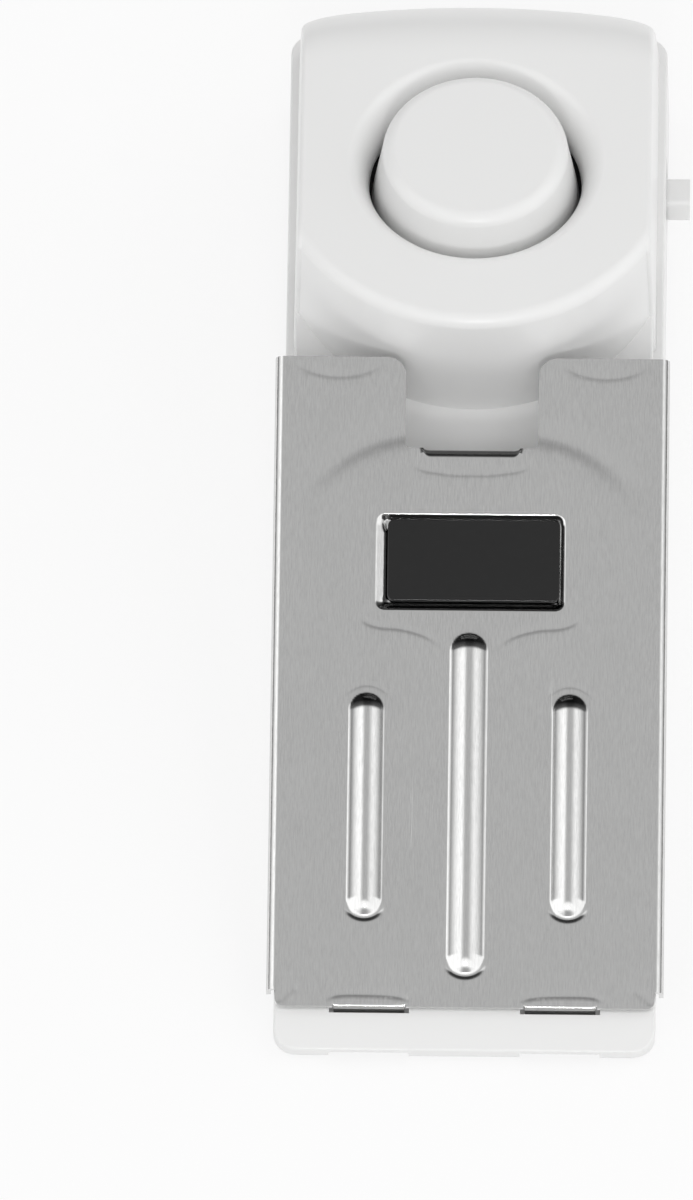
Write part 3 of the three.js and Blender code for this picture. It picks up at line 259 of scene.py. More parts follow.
def eased_prism(name, loop, low, high, place, ease_low=0.0, ease_high=0.0):
    # An outline raised from low to high, both rims rounded; place turns (u, v, height) into x, y, z
    levels = [(low + back, inset) for back, inset in reversed(rim_steps(ease_low))]
    levels += [(high - back, inset) for back, inset in rim_steps(ease_high)]
    corners = []
    for level, inset in levels:
        corners += [place(u, v, level) for u, v in (drawn_in(loop, inset) if inset else loop)]
    lid = tuple(range(len(corners) - len(loop), len(corners)))
    return made(name, corners, banded(len(loop), len(levels)) + [lid])


def sideways(u, v, height):
    return height, u, v


def upright(u, v, height):
    return u, v, height


def turned_form(name, points, x, y, steps):
    # A closed round form about an upright axis, from points of radius and height
    corners, faces = [], []
    count = len(points)
    for i in range(steps):
        turn = 2 * math.pi * i / steps
        corners += [(x + r * math.cos(turn), y + r * math.sin(turn), z) for r, z in points]
        for j in range(count - 1):
            a, b = i * count + j, (i + 1) % steps * count + j
            faces.append((a, b, b + 1, a + 1))
    return made(name, corners, faces)


def rod(name, radius, x, y, low, high, steps=32):
    return turned_form(name, [(0, low), (radius, low), (radius, high), (0, high)], x, y, steps)


def block(name, x, y, z):
    loop = [(x[0], y[0]), (x[1], y[0]), (x[1], y[1]), (x[0], y[1])]
    return eased_prism(name, loop, z[0], z[1], upright)


def quarter(x, y, radius, start, end, steps=6):
    turns = [math.radians(start + (end - start) * i / steps) for i in range(steps + 1)]
    return [(x + radius * math.cos(turn), y + radius * math.sin(turn)) for turn in turns]


def rounded_rectangle(half_x, half_y, radius, x=0, y=0):
    loop = []
    for i, (side, end) in enumerate(((1, 1), (-1, 1), (-1, -1), (1, -1))):
        loop += quarter(side * (half_x - radius), end * (half_y - radius), radius, 90 * i, 90 * i + 90)
    return [(u + x, v + y) for u, v in loop]


def plan_half(inset, start, ways=()):
    # The right half of the tub's outline from the nose to the middle of the bowed rear
    front = 22.7 + 0.4 * start / long - inset
    back, end = tub_half - inset, long - inset
    radius, corner = max(2.8 - inset, 0.3), max(3.0 - inset, 0.3)
    half = quarter(front - radius, start + radius, radius, -90, 0, 10)
    half += [(front + (back - front) * (y - start) / (end - start), y) for y in ways]
    half += quarter(back - corner, end - rear_bow - corner, corner, 0, 90, 10)
    for i in range(1, 19):
        t = i / 36
        x = (1 - t) ** 2 * (back - corner) - t**2 * (back - corner)
        y = (1 - t) ** 2 * (end - rear_bow) + 2 * t * (1 - t) * (end + rear_bow) + t**2 * (end - rear_bow)
        half.append((x, y))
    return half


def mirrored(half):
    return half + [(-x, y) for x, y in reversed(half[:-1])]


def tub_top(y):
    return slope_at(y) if y < 12.01 else min(deck_under(y) - 0.06, rim_level)


def tub_block():
    ways = [4, 8, 12, 12.02] + list(range(18, 66, 6)) + [65.3, 66.5] + list(range(72, 138, 6))
    loop = mirrored(plan_half(0, 0, ways))
    corners = []
    for rim, is_top in ((reversed(rim_steps(0.45)), False), (rim_steps(0.3), True)):
        for back, inset in rim:
            for (x, y), (_, at) in zip(drawn_in(loop, inset) if inset > 1e-9 else loop, loop):
                z = tub_top(at) - back if is_top else tub_low + back
                corners.append((x * (1 - tub_draft / tub_half * (z - tub_low) / 13.1), y, z))
    count = len(loop)
    faces = banded(count, len(corners) // count)
    top, last = len(corners) - count, count - 1
    for i in range(last // 2):
        row = (top + i, top + i + 1, top + last - i - 1, top + last - i)
        faces.append(row if len(set(row)) == 4 else row[:3])
    return made("tub", corners, faces)


lower_shell = tub_block()
cavity = eased_prism("cavity", mirrored(plan_half(shell_wall, 15)), tub_floor, 14.5, upright)
combined(lower_shell, "DIFFERENCE", cavity)
posts = [rod("screw_post", 3.2, side * screw_out, y, 2.0, 3.8) for side in (-1, 1) for y in screw_rows]
posts += [rod("board_post", 2.2, x, y, 2.0, 4.3) for x, y in board_posts]
posts.append(block("switch_shelf", (15.54, 21.7), (117.3, 129.3), (2.0, 5.4)))
for side in (-1, 1):
    gusset = [(side * x, y) for x, y in ((18.7, 137.9), (22.2, 137.9), (22.2, 140.6), (18.7, 142.0))]
    shelf = eased_prism("corner_shelf", gusset, 12.3, 13.45, upright)
    posts.append(combined(shelf, "DIFFERENCE", rod("clear", 3.2, side * screw_out, screw_rows[1], 12, 14)))
combined(lower_shell, "UNION", *posts)
pocket_high = 1.2
screw_line = [(0, -1), (3.0, -1), (3.0, 0.4), (2.8, 0.6), (2.8, 2.2), (1.55, 2.2), (1.55, 5), (0, 5)]
cuts = [
    block("doorway", (-13.55, 13.55), (84.3, 146), (-1, 3.4)),
    block("door_grooves", (-14.55, 14.55), (84.3, 146), (1.4, 2.9)),
    block("switch_slot", (20.2, 25), (119.5, 127.1), (5.75, 10.15)),
    block("switch_room", (20.2, 21.54), (115.6, 131.0), (5.45, 10.45)),
    eased_prism("front_pocket", rounded_rectangle(14.3, 31.3, 3, 0, front_pad_at), -1, pocket_high, upright),
]
for side in (-1, 1):
    outline = rounded_rectangle(3.5, 20.3, 1.5, side * rear_pad_out, rear_pad_at)
    cuts.append(eased_prism("rear_pocket", outline, -1, pocket_high, upright))
    hinge = (side * hinge_at - 4.75, side * hinge_at + 4.75)
    cuts.append(block("hook_recess", hinge, (-1, 5.95), (-1, 1.375)))
    cuts.append(block("hinge_shaft", hinge, (4.62, 5.95), (-1, 5)))
    cuts += [turned_form("screw_bore", screw_line, side * screw_out, y, 40) for y in screw_rows]
cuts += [rod("board_bore", 1.2, x, y, 1.5, 5) for x, y in board_posts]
combined(lower_shell, "DIFFERENCE", *cuts)
dressed(softened(lower_shell, 28), white_plastic, "root", "lower_shell")


# Battery door: a flat sliding cover of the same ABS under the battery, held by two side tongues.
# Five grooves for the thumb are moulded across its rear end.
copied("battery_door", "battery_cover", 0.0002, white_plastic, "door")


# Upper shell: the sloping deck and the siren head in one ABS moulding, drawn up out of the tool.
# The head is a round drum in front that runs into flat drafted sides and a back that rolls down to the ledge.
head_axis, head_radius = 106.2, 24.2
head_top, head_half, head_foot = 36.4, 21.85, 13.56
crease_radius, roll_radius = 1.6, 12.8
roll_from, roll_turn, back_foot = 122.7, math.radians(50), 143.0
bow, bow_corner = 2.7, 1.4


def head_half_at(z, inset):
    share = (z - (head_foot - 1)) / (head_top - head_foot + 2)
    return (head_half - inset) * (1 - 0.75 / head_half * share)


def head_profile(inset, low):
    # (y or None where the drum's round gives it, z, drum radius, inward y, inward z)
    top, radius = head_top - inset, head_radius - inset
    crease = max(crease_radius - inset, 0.3)
    points = [(None, low + (top - crease - low) * i / 8, radius, 1.0, 0.0) for i in range(8)]
    for turn in (math.pi / 2 * i / 8 for i in range(9)):
        reach = radius - crease + crease * math.cos(turn)
        points.append((None, top - crease + crease * math.sin(turn), reach, math.cos(turn), -math.sin(turn)))
    points += [(i / 6, top, radius - crease, 0.0, -1.0) for i in range(1, 6)]
    roll_z = head_top - roll_radius
    meet_y, meet_z = roll_from + roll_radius * math.sin(roll_turn), roll_z + roll_radius * math.cos(roll_turn)
    chord = math.hypot(back_foot - meet_y, meet_z - head_foot)
    chord_turn = math.atan2(meet_z - head_foot, back_foot - meet_y)
    back_radius = chord / (2 * math.sin(chord_turn - roll_turn))
    hub_y, hub_z = meet_y - back_radius * math.sin(roll_turn), meet_z - back_radius * math.cos(roll_turn)
    last = math.pi / 2 - math.asin((low - hub_z) / (back_radius - inset))
    rolls = [(roll_turn * i / 16, roll_from, roll_z, roll_radius) for i in range(17)]
    rolls += [(roll_turn + (last - roll_turn) * i / 12, hub_y, hub_z, back_radius) for i in range(1, 13)]
    for turn, y, z, reach in rolls:
        over, up = math.sin(turn), math.cos(turn)
        points.append((y + (reach - inset) * over, z + (reach - inset) * up, None, -over, -up))
    return points


def head_block(name, inset, low, easing):
    profile = head_profile(inset, low)
    stations = [(math.sin(math.pi / 2 * i / 26), 0.0, 0.0) for i in range(-26, 27)]
    if easing:
        turns = [math.pi / 2 * i / 5 for i in range(1, 6)]
        rim = [(1.0, easing * math.sin(turn), easing * (1 - math.cos(turn))) for turn in turns]
        stations = [(-a, -b, c) for a, b, c in reversed(rim)] + stations + rim
    corners = []
    for share, beyond, sunk in stations:
        for y, z, reach, into_y, into_z in profile:
            half = head_half_at(z, inset)
            x = share * (half - easing) + beyond
            if reach is not None:
                front = head_axis - math.sqrt(reach**2 - (share * (half - easing)) ** 2)
                y = front if y is None else front + (roll_from - front) * y
            side = abs(x) / half
            back = max(y - head_axis, 0) / (long - head_axis)
            y -= (bow * side**2 + bow_corner * side**12) * back
            corners.append((x, y + into_y * sunk, z + into_z * sunk))
    count = len(profile)
    faces = []
    for start in range(0, len(corners) - count, count):
        faces += [(a, a + 1, a + count + 1, a + count) for a in range(start, start + count - 1)]
        faces.append((start, start + count, start + 2 * count - 1, start + count - 1))
    ends = [tuple(range(count)), tuple(range(len(corners) - count, len(corners)))]
    return made(name, corners, faces + ends)


head = head_block("siren_head", 0.0, head_foot, 0.55)
deck_start, deck_half = 12.3, 21.52
skirt_start = (head_foot - deck_under(0)) / slope
deck_loop = [(deck_start, deck_under(deck_start)), (skirt_start, head_foot), (head_axis, head_foot)]
deck_loop += [(head_axis, slope_at(head_axis)), (deck_start, slope_at(deck_start))]
combined(head, "UNION", eased_prism("deck", deck_loop, -deck_half, deck_half, sideways, 0.35, 0.35))

hollow = head_block("hollow", shell_wall, head_foot - 1, 0.0)
hollow_loop = [(skirt_start, head_foot), (skirt_start, head_foot - 1), (head_axis, head_foot - 1)]
hollow_loop.append((head_axis, deck_under(head_axis)))
deck_hollow = eased_prism("deck_hollow", hollow_loop, shell_wall - deck_half, deck_half - shell_wall, sideways)
combined(head, "DIFFERENCE", hollow, deck_hollow)

mouth_radius, mouth_flare, flare_deep, collar_low, collar_high = 12.75, 2.75, 5.7, 30.6, 35.4
collar_line = [(12.0, collar_low), (15.2, collar_low), (15.2, collar_high), (12.0, collar_high)]
collar_line += [(12.0, collar_low)]
collar = turned_form("collar", collar_line, 0, head_axis, 96)
ear_out, cup_along = 13.577, 55.03
ears = [(side * ear_out, head_axis + side * ear_out) for side in (-1, 1)]
ear_bosses = [rod("ear_boss", 2.3, x, y, 25.9, 35.5) for x, y in ears]


def laid(piece, lay):
    # A form made about the upright axis at the nose, moved by a matrix in millimetres
    piece.data.transform(to_metres @ lay @ Matrix.Translation((0, -nose, 0)) @ to_metres.inverted())
    return piece


on_deck = Matrix.Translation((0, nose + cup_along, slope_at(cup_along)))
square_on_deck = on_deck @ Matrix.Rotation(slope_angle, 4, "X")
cup = laid(rod("spring_cup", 5.0, 0, 0, -3.4, -0.8, 64), square_on_deck)
bosses = []
for y, low, high in ((screw_rows[1], 5.8, 16.5), (screw_rows[0], 4.1, 7.6)):
    bosses += [rod("screw_boss", 2.9, side * screw_out, y, low, high) for side in (-1, 1)]
webs = []
for behind in (head_axis + 4, head_axis + 24):
    for side in (-1, 1):
        webs.append(block("web", sorted((side * 13.6, side * 20.7)), (behind, behind + 1.4), (14.4, 20.4)))
combined(head, "UNION", collar, *ear_bosses, cup, *bosses, *webs)

mouth_line = [(0, collar_low - 1), (mouth_radius, collar_low - 1)]
for turn in (math.pi / 2 * i / 14 for i in range(15)):
    flared = mouth_radius + mouth_flare * (1 - math.cos(turn))
    mouth_line.append((flared, head_top - flare_deep * (1 - math.sin(turn))))
mouth_line += [(mouth_radius + mouth_flare, head_top + 1), (0, head_top + 1)]
mouth = turned_form("mouth", mouth_line, 0, head_axis, 128)
cup_line = [(0, -2.4), (3.9, -2.4), (3.9, -0.25), (4.15, 0), (4.15, 1), (0, 1)]
cup_hole = laid(turned_form("cup_hole", cup_line, 0, 0, 64), square_on_deck)
tab_slot = block("tab_slot", (-6.15, 6.15), (73.3, 76.25), (14.0, 19.5))
bores = [rod("bore", 1.55, side * screw_out, y, 3.0, 10.5) for side in (-1, 1) for y in screw_rows]
ear_bores = [rod("ear_bore", 1.3, x, y, 24, 31.1) for x, y in ears]
combined(head, "DIFFERENCE", mouth, cup_hole, tab_slot, *bores, *ear_bores)
dressed(softened(head, 28), white_plastic, "root", "upper_shell")


# Siren: a moulded cap with a soft round knob on a slotted ring, over a foam gasket, a brass disc with its
# fired ceramic layer, and a black holder that two screws pull up against the head.
knob_top, knob_half, knob_edge, cap_low, cap_high = 39.1, 11.2, 1.75, 28.9, 30.3
knob_points = [(0, knob_top - 1.5), (8.35, knob_top - 1.5), (11.0, cap_low), (12.5, cap_low)]
for turn in (math.pi / 2 * i / 12 for i in range(13)):
    outer = knob_half - knob_edge * (1 - math.cos(turn))
    knob_points.append((outer, knob_top - knob_edge * (1 - math.sin(turn))))
knob_points += [(5.0, knob_top), (0, knob_top)]
siren_cap = turned_form("siren_knob", knob_points, 0, head_axis, 128)
ring_line = [(13.2, cap_low), (16.6, cap_low), (16.6, cap_high), (13.2, cap_high), (13.2, cap_low)]
cap_ring = turned_form("cap_ring", ring_line, 0, head_axis, 96)
cap_webs = []
for turn in (math.pi / 4 + corner * math.pi / 2 for corner in range(4)):
    along, across = Vector((math.cos(turn), math.sin(turn))), Vector((-math.sin(turn), math.cos(turn)))
    ends = [along * out + across * beside for out, beside in ((11.2, -1.2), (14, -1.2), (14, 1.2), (11.2, 1.2))]
    loop = [(end.x, end.y + head_axis) for end in ends]
    cap_webs.append(eased_prism("cap_web", loop, cap_low, cap_high, upright, 0.0, 0.25))
combined(siren_cap, "UNION", cap_ring, *cap_webs)
dressed(softened(siren_cap, 30), white_plastic, "root", "siren_cap")


def speckled(name, color, second, roughness, scale, metallic=0.0, strength=0.3, distance=0.00005):
    material, tree, shader, place = blank_finish(name, roughness, metallic)
    cells, cloud = noise(tree, place, scale, 5.0, 0.65), noise(tree, place, scale / 9, 3.0)
    rough = varied(tree, cells, roughness - 0.06, roughness + 0.06)
    fed(tree, shader, tinted(tree, cloud, color, second), rough, bumped(tree, cells, strength, distance))
    return material


foam = speckled("dark_foam", (0.030, 0.030, 0.032), (0.042, 0.042, 0.044), 0.92, 2600.0, 0.0, 0.9, 0.00015)
brass = speckled("brass_disc", (0.72, 0.53, 0.22), (0.60, 0.42, 0.17), 0.26, 700.0, 1.0, 0.12)
ceramic = speckled("piezo_ceramic", (0.80, 0.78, 0.70), (0.72, 0.70, 0.62), 0.5, 1800.0)
black_plastic = speckled("black_plastic", (0.014, 0.014, 0.016), (0.020, 0.020, 0.022), 0.5, 3200.0)
gasket_line = [(12.2, 27.95), (12.35, 27.8), (13.45, 27.8), (13.6, 27.95), (13.6, 28.45), (13.45, 28.6)]
gasket_line += [(12.35, 28.6), (12.2, 28.45), (12.2, 27.95)]
disc_line = [(0, 27.06), (11.6, 27.06), (12.0, 27.0), (13.4, 27.0), (13.5, 27.1), (13.5, 27.4), (13.4, 27.5)]
disc_line += [(0, 27.5)]
fired_line = [(0, 26.4), (9.8, 26.4), (10.0, 26.5), (10.0, 26.65), (9.9, 26.7), (0, 26.7)]
for name, line, finish, node in (
    ("foam_gasket", gasket_line, foam, "siren_gasket"),
    ("sounder_disc", disc_line, brass, "piezo_disc"),
    ("fired_layer", fired_line, ceramic, "piezo_ceramic"),
):
    dressed(softened(turned_form(name, line, 0, head_axis, 96), 30), finish, "root", node)
copied("piezo_holder", "siren_holder", 0.0002, black_plastic)


# Slide switch: a white moulded knob that stands out of the right side wall and slides in a slot.
# Its stem carries a wide flange inside, on a black switch body.
copied("slide_switch_knob", "slide_knob", 0.0005, white_plastic, "switch_knob", 4)
copied("slide_switch_body", "switch_case", 0.0003, black_plastic)


# Contact plate: pressed stainless sheet, half polished with a fine lengthwise grain. Three ribs stiffen it,
# a pocket takes the name plate, two hooked tabs hang it in the nose and a rear tab catches under the deck.
sheet = 0.55
plate_angle, plate_start, plate_base, plate_long = math.radians(17.6), 4.9, 3.8828, 81.49
bend, half_flat = 1.0, 22.6
flange_front, flange_growth, flange_start = 2.6, 4.2, 2.1
notch_at, notch_half, ear_round = 70.09, 7.95, 2.3
rib_rise = 0.95
ribs = [(-12.1, 11.5, 39.0, 2.0), (0.0, 4.35, 46.6, 2.12), (12.1, 11.5, 39.0, 2.0)]
pocket_half, pocket_from, pocket_to, pocket_deep, pocket_corner = 11.4, 49.6, 61.75, 0.8, 1.2
pocket_middle = (pocket_from + pocket_to) / 2
wall_runs = {"left": 1.75, "right": 0.95, "front": 1.2, "rear": 0.62}
hinge_half, hinge_bend, hook_drop, hook_bend, hook_long = 4.2, 0.36, 2.8078, 0.25, 2.575
catch_half, catch_bend, catch_knee, catch_drop, catch_foot = 5.8, 1.25, 0.8, 11.079, 1.969
catch_curl, catch_tight = 0.9, 0.12


def flange_end(along):
    return half_flat + bend * math.pi / 2 + flange_front + flange_growth * (along + 1) / (plate_long + 2) - bend


def walked(path, distance):
    # Where a sheet's top face is after a distance along lines and bends, heading off level
    place, heading = Vector((0, 0)), 0.0
    for kind, size, turn in path:
        upward = Vector((-math.sin(heading), math.cos(heading)))
        if kind == "line":
            step = min(distance, size)
            place = place + Vector((math.cos(heading), math.sin(heading))) * step
        else:
            sign = 1 if turn > 0 else -1
            step = min(distance, size * abs(turn))
            hub = place - upward * size * sign
            heading -= sign * step / size
            place = hub + Vector((-math.sin(heading), math.cos(heading))) * size * sign
        distance -= step
        if distance <= 1e-9:
            return place
    return place + Vector((math.cos(heading), math.sin(heading))) * distance


def path_long(path):
    return sum(size if kind == "line" else size * abs(turn) for kind, size, turn in path)


hinge_turn = math.pi / 2 - plate_angle
hinge_start = hinge_bend * math.tan(hinge_turn / 2)
hinge_path = [
    ("bend", hinge_bend, hinge_turn),
    ("line", hook_drop - hinge_start - hook_bend, 0),
    ("bend", hook_bend, -math.pi / 2),
    ("line", hook_long, 0),
]
catch_turn = math.radians(107.6)
catch_path = [
    ("bend", catch_bend, math.pi / 2),
    ("line", catch_drop - catch_bend - catch_knee * math.tan(catch_turn / 2), 0),
    ("bend", catch_knee, catch_turn),
    ("line", catch_foot - catch_knee * math.tan(catch_turn / 2), 0),
]
catch_start = notch_at - catch_bend


def smooth(share):
    share = min(max(share, 0.0), 1.0)
    return share * share * (3 - 2 * share)


def eased_ramp(share, ease=0.16):
    # A straight ramp from 0 to 1 with a short round at each end
    share = min(max(share, 0.0), 1.0)
    part = min(share, 1 - share)
    low = part**2 / (2 * ease * (1 - ease)) if part < ease else (part - ease / 2) / (1 - ease)
    return low if share < 0.5 else 1 - low


def catch_place(across, distance):
    # The rear tab folds down; its bend tightens toward both ends, so its start curls up to the notch's edge
    if distance > catch_bend * math.pi / 2:
        return walked(catch_path, distance)
    ends = min(max((abs(across) - catch_half + catch_curl) / catch_curl, 0.0), 1.0)
    radius = catch_tight + (catch_bend - catch_tight) * math.sqrt(1 - ends**2)
    step = distance
    if distance > catch_bend:
        tail = catch_bend - radius * (2 - math.pi / 2)
        step = catch_bend + (distance - catch_bend) * tail / (catch_bend * (math.pi / 2 - 1))
    rest = catch_bend - radius
    return walked([("line", rest, 0), ("bend", radius, math.pi / 2)], step)


def pocket_share(across, along):
    # From 0 outside the pocket to 1 on its floor; its left and front walls slope more gently
    half_long = (pocket_to - pocket_from) / 2
    beside, behind = pocket_half - abs(across), half_long - abs(along - pocket_middle)
    u, v = pocket_corner - beside, pocket_corner - behind
    inside = pocket_corner - math.hypot(max(u, 0), max(v, 0)) - min(max(u, v), 0)
    run_x = wall_runs["left" if across < 0 else "right"]
    run_y = wall_runs["front" if along < pocket_middle else "rear"]
    lean = smooth((behind - beside + 0.8) / 1.6)
    return eased_ramp(inside / (run_y + (run_x - run_y) * lean))


# Faint marks that the press leaves round the forms: a line of points, its depth and its half width
right_marks = [
    ([(10.3, 81.2), (12.6, 79.7), (15.6, 79.1), (18.8, 79.5), (21.9, 81.0)], 0.035, 0.5),
    ([(7.6, 72.0), (11.0, 71.2), (14.4, 69.6), (17.6, 66.9), (19.2, 64.2), (19.6, 61.5)], 0.12, 1.45),
    ([(12.7, 50.2), (12.6, 48.4), (10.9, 47.6), (8.0, 47.3), (4.9, 46.3), (2.5, 44.3)], 0.04, 0.42),
    ([(6.6, 0.5), (7.6, 1.3), (11.3, 1.6), (15.2, 1.5), (16.8, 0.6)], 0.055, 0.45),
    ([(19.8, 2.6), (21.2, 1.6), (22.4, 0.3)], 0.04, 0.55),
    (
        [(8.9, 37.6), (9.6, 39.1), (11.0, 40.0), (12.1, 40.2), (13.2, 40.0), (14.6, 39.1), (15.3, 37.6)],
        0.022,
        0.3,
    ),
]
marks = [([(side * x, y) for x, y in line], deep, half) for line, deep, half in right_marks for side in (-1, 1)]
tab_mark = [(-6.9, 69.3), (-6.4, 67.6), (-3.0, 66.9), (0.0, 66.8), (3.0, 66.9), (6.4, 67.6), (6.9, 69.3)]
marks.append((tab_mark, 0.03, 0.4))
marks += [(quarter(x, start + half, half + 0.4, 195, 345, 10), 0.11, 0.36) for x, start, _, half in ribs]


def drawn_smooth(line, parts=6):
    ends = [line[0], *line, line[-1]]
    run = []
    for i in range(1, len(ends) - 2):
        p0, p1, p2, p3 = (Vector(point) for point in ends[i - 1 : i + 3])
        for t in (k / parts for k in range(parts)):
            bend_out = (2 * p0 - 5 * p1 + 4 * p2 - p3) * t**2 + (3 * p1 - p0 - 3 * p2 + p3) * t**3
            run.append(0.5 * (2 * p1 + (p2 - p0) * t + bend_out))
    return run + [Vector(line[-1])]


press_lines = []
for line, deep, half in marks:
    run = drawn_smooth(line)
    room = 2.6 * half
    xs, ys = [point.x for point in run], [point.y for point in run]
    press_lines.append((run, deep, half, (min(xs) - room, max(xs) + room, min(ys) - room, max(ys) + room)))


def off_line(run, across, along):
    # The gap to a line's nearest point, and that point's share of the line
    nearest = (1e9, 0.0)
    for i, ((ax, ay), (bx, by)) in enumerate(zip(run, run[1:])):
        ux, uy = bx - ax, by - ay
        share = ((across - ax) * ux + (along - ay) * uy) / (ux * ux + uy * uy)
        share = min(max(share, 0.0), 1.0)
        gap = math.hypot(across - ax - ux * share, along - ay - uy * share)
        nearest = min(nearest, (gap, (i + share) / (len(run) - 1)))
    return nearest


def pressed(across, along):
    # How far ribs, pocket and press marks lift the flat sheet at a place
    over = 0.0
    for x, start, end, half in ribs:
        arc = (half**2 + rib_rise**2) / (2 * rib_rise)
        off = math.hypot(across - x, max(start + half - along, 0, along - (end - half)))
        if off < half:
            rise = math.sqrt(arc**2 - off**2) - (arc - rib_rise)
        else:
            rise = (half - off) * half / math.sqrt(arc**2 - half**2)
        if off < 6:
            over += 0.5 * (rise + math.sqrt(rise * rise + 0.014)) - 0.0008
    over -= pocket_deep * pocket_share(across, along)
    for run, deep, half, (west, east, south, north) in press_lines:
        if west < across < east and south < along < north:
            gap, share = off_line(run, across, along)
            fade = 1 - smooth((share - 0.4) / 0.6) if half > 1 else smooth(min(share, 1 - share) / 0.25)
            over -= deep * fade * math.exp(-((gap / half) ** 2))
    return over


def on_plate(across, along, height):
    # A place measured across, along and off the plate's top face, as x, y, z from the nose
    y = plate_start + along * math.cos(plate_angle) - height * math.sin(plate_angle)
    return across, y, plate_base + along * math.sin(plate_angle) + height * math.cos(plate_angle)


def region(across, along, slack=1e-6):
    if along < hinge_start and abs(abs(across) - hinge_at) <= hinge_half + slack:
        return "hinge"
    if along > catch_start and abs(across) <= catch_half + slack:
        return "catch"
    return "sheet"


def sheet_point(across, along):
    near, off = region(across, along), abs(across)
    if near == "hinge":
        place = walked(hinge_path, hinge_start - along)
        return Vector(on_plate(across, hinge_start - place.x, place.y))
    if near == "catch":
        place = catch_place(across, along - catch_start)
        return Vector(on_plate(across, catch_start + place.x, place.y))
    if off > half_flat:
        turn = min((off - half_flat) / bend, math.pi / 2)
        down = max(off - half_flat - bend * math.pi / 2, 0)
        out = math.copysign(half_flat + bend * math.sin(turn), across)
        return Vector(on_plate(out, along, -bend + bend * math.cos(turn) - down))
    return Vector(on_plate(across, along, pressed(across, along)))


def plate_outline():
    slit, slit_deep = 0.18, hinge_start + 0.1
    inner, outer = hinge_at - hinge_half, hinge_at + hinge_half
    tip, tip_round = hinge_start - path_long(hinge_path), 0.6
    front_half, front_round, flange_round = 22.55, 0.9, 0.5
    rear_round, notch_round, catch_round = 0.7, 0.55, 0.5
    right = [(inner - slit, 0), (inner - slit, slit_deep), (inner, slit_deep)]
    right += quarter(inner + tip_round, tip + tip_round, tip_round, 180, 270, 4)
    right += quarter(outer - tip_round, tip + tip_round, tip_round, 270, 360, 4)
    right += [(outer, slit_deep), (outer + slit, slit_deep), (outer + slit, 0)]
    right += quarter(front_half - front_round, front_round, front_round, 270, 360)
    right += [(front_half, flange_start)]
    middle = flange_end(flange_start) - flange_round, flange_start + flange_round
    right += quarter(*middle, flange_round, 270, 360, 4)
    rear_end = flange_end(plate_long) - 0.04
    right += quarter(rear_end - rear_round, plate_long - rear_round, rear_round, 0, 90, 4)
    right += quarter(notch_half + ear_round, plate_long - ear_round, ear_round, 90, 180, 12)
    right += quarter(notch_half - notch_round, notch_at + notch_round, notch_round, 0, -90, 4)
    end = catch_start + path_long(catch_path)
    right.append((catch_half, notch_at))
    right += quarter(catch_half - catch_round, end - catch_round, catch_round, 0, 90, 4)
    return right + [(-x, y) for x, y in reversed(right)]


def split_long(loop, longest):
    points = []
    for i, (x, y) in enumerate(loop):
        far_x, far_y = loop[(i + 1) % len(loop)]
        count = max(1, math.ceil(math.dist((x, y), (far_x, far_y)) / longest))
        points += [(x + (far_x - x) * k / count, y + (far_y - y) * k / count) for k in range(count)]
    return points


def stepped(spans):
    # Grid lines from (start, end, step) spans
    lines = []
    for start, end, step in spans:
        count = max(1, round((end - start) / step))
        lines += [start + (end - start) * i / count for i in range(count)]
    return lines + [spans[-1][1]]


def both_sides(lines):
    return [-x for x in reversed(lines[1:])] + lines


close, wide = 0.22, 1.2
half_lines = stepped(
    [(0, 3.2, close), (3.2, 8.8, wide), (8.8, 9.6, close), (9.6, 11.5, 0.1)]
    + [(11.5, 15.4, close), (15.4, 21.6, wide)]
    + [(21.6, half_flat, 0.4)]
)
long_lines = stepped(
    [(0.7, 3.2, 0.6), (3.2, 8.0, close), (8.0, 10.2, 0.5), (10.2, 15.0, close)]
    + [(15.0, 35.6, 0.8), (35.6, 40.2, close)]
    + [(40.2, 43.2, 0.6), (43.2, 47.8, close), (47.8, 49.4, 0.4), (49.4, 50.9, 0.12), (50.9, 61.0, 0.8)]
    + [(61.0, 61.9, 0.09), (61.9, 81.2, 0.9)]
)
outline = split_long(plate_outline(), 0.6)


def clear_of_outline(point):
    x, y = point
    inside = False
    for (x1, y1), (x2, y2) in zip([outline[-1], *outline], outline):
        if (y1 > y) != (y2 > y) and x < (x2 - x1) * (y - y1) / (y2 - y1) + x1:
            inside = not inside
    return inside and all(abs(x - u) + abs(y - v) > 0.14 for u, v in outline)


inner_points = []
for y in long_lines:
    clear = 0
    if y > catch_start - 0.25:
        clear = catch_half + 0.1
    if y > notch_at - 0.2:
        clear = notch_half + (ear_round if y > plate_long - ear_round else 0.1) + 0.1
    inner_points += [(x, y) for x in both_sides(half_lines) if not clear or abs(x) > clear]
for y in [y for y in long_lines if y > 2.3]:
    for i in range(1, 9):
        inner_points += [(side * (half_flat + bend * math.pi / 2 * i / 8), y) for side in (-1, 1)]
    reach = flange_end(y) - half_flat - bend * math.pi / 2
    inner_points += [(side * (flange_end(y) - reach * part), y) for part in (0.35, 0.7) for side in (-1, 1)]
hook_rows = stepped([(0, 0.48, 0.08), (0.48, 2.6, 0.5), (2.6, 3.5, 0.08), (3.5, 5.6, 0.5)])
for side in (-1, 1):
    for x in (side * (hinge_at - hinge_half + 0.4 + 7.6 * i / 9) for i in range(10)):
        inner_points += [(x, hinge_start - y) for y in hook_rows]
catch_rows = stepped([(-0.12, 2.05, 0.08), (2.05, 9.6, 1.0), (9.6, 11.6, 0.14), (11.6, 13.0, 0.4)])
for x in both_sides(stepped([(0, 4.8, 0.8), (4.8, 5.7, 0.1)])):
    inner_points += [(x, catch_start + y) for y in catch_rows]
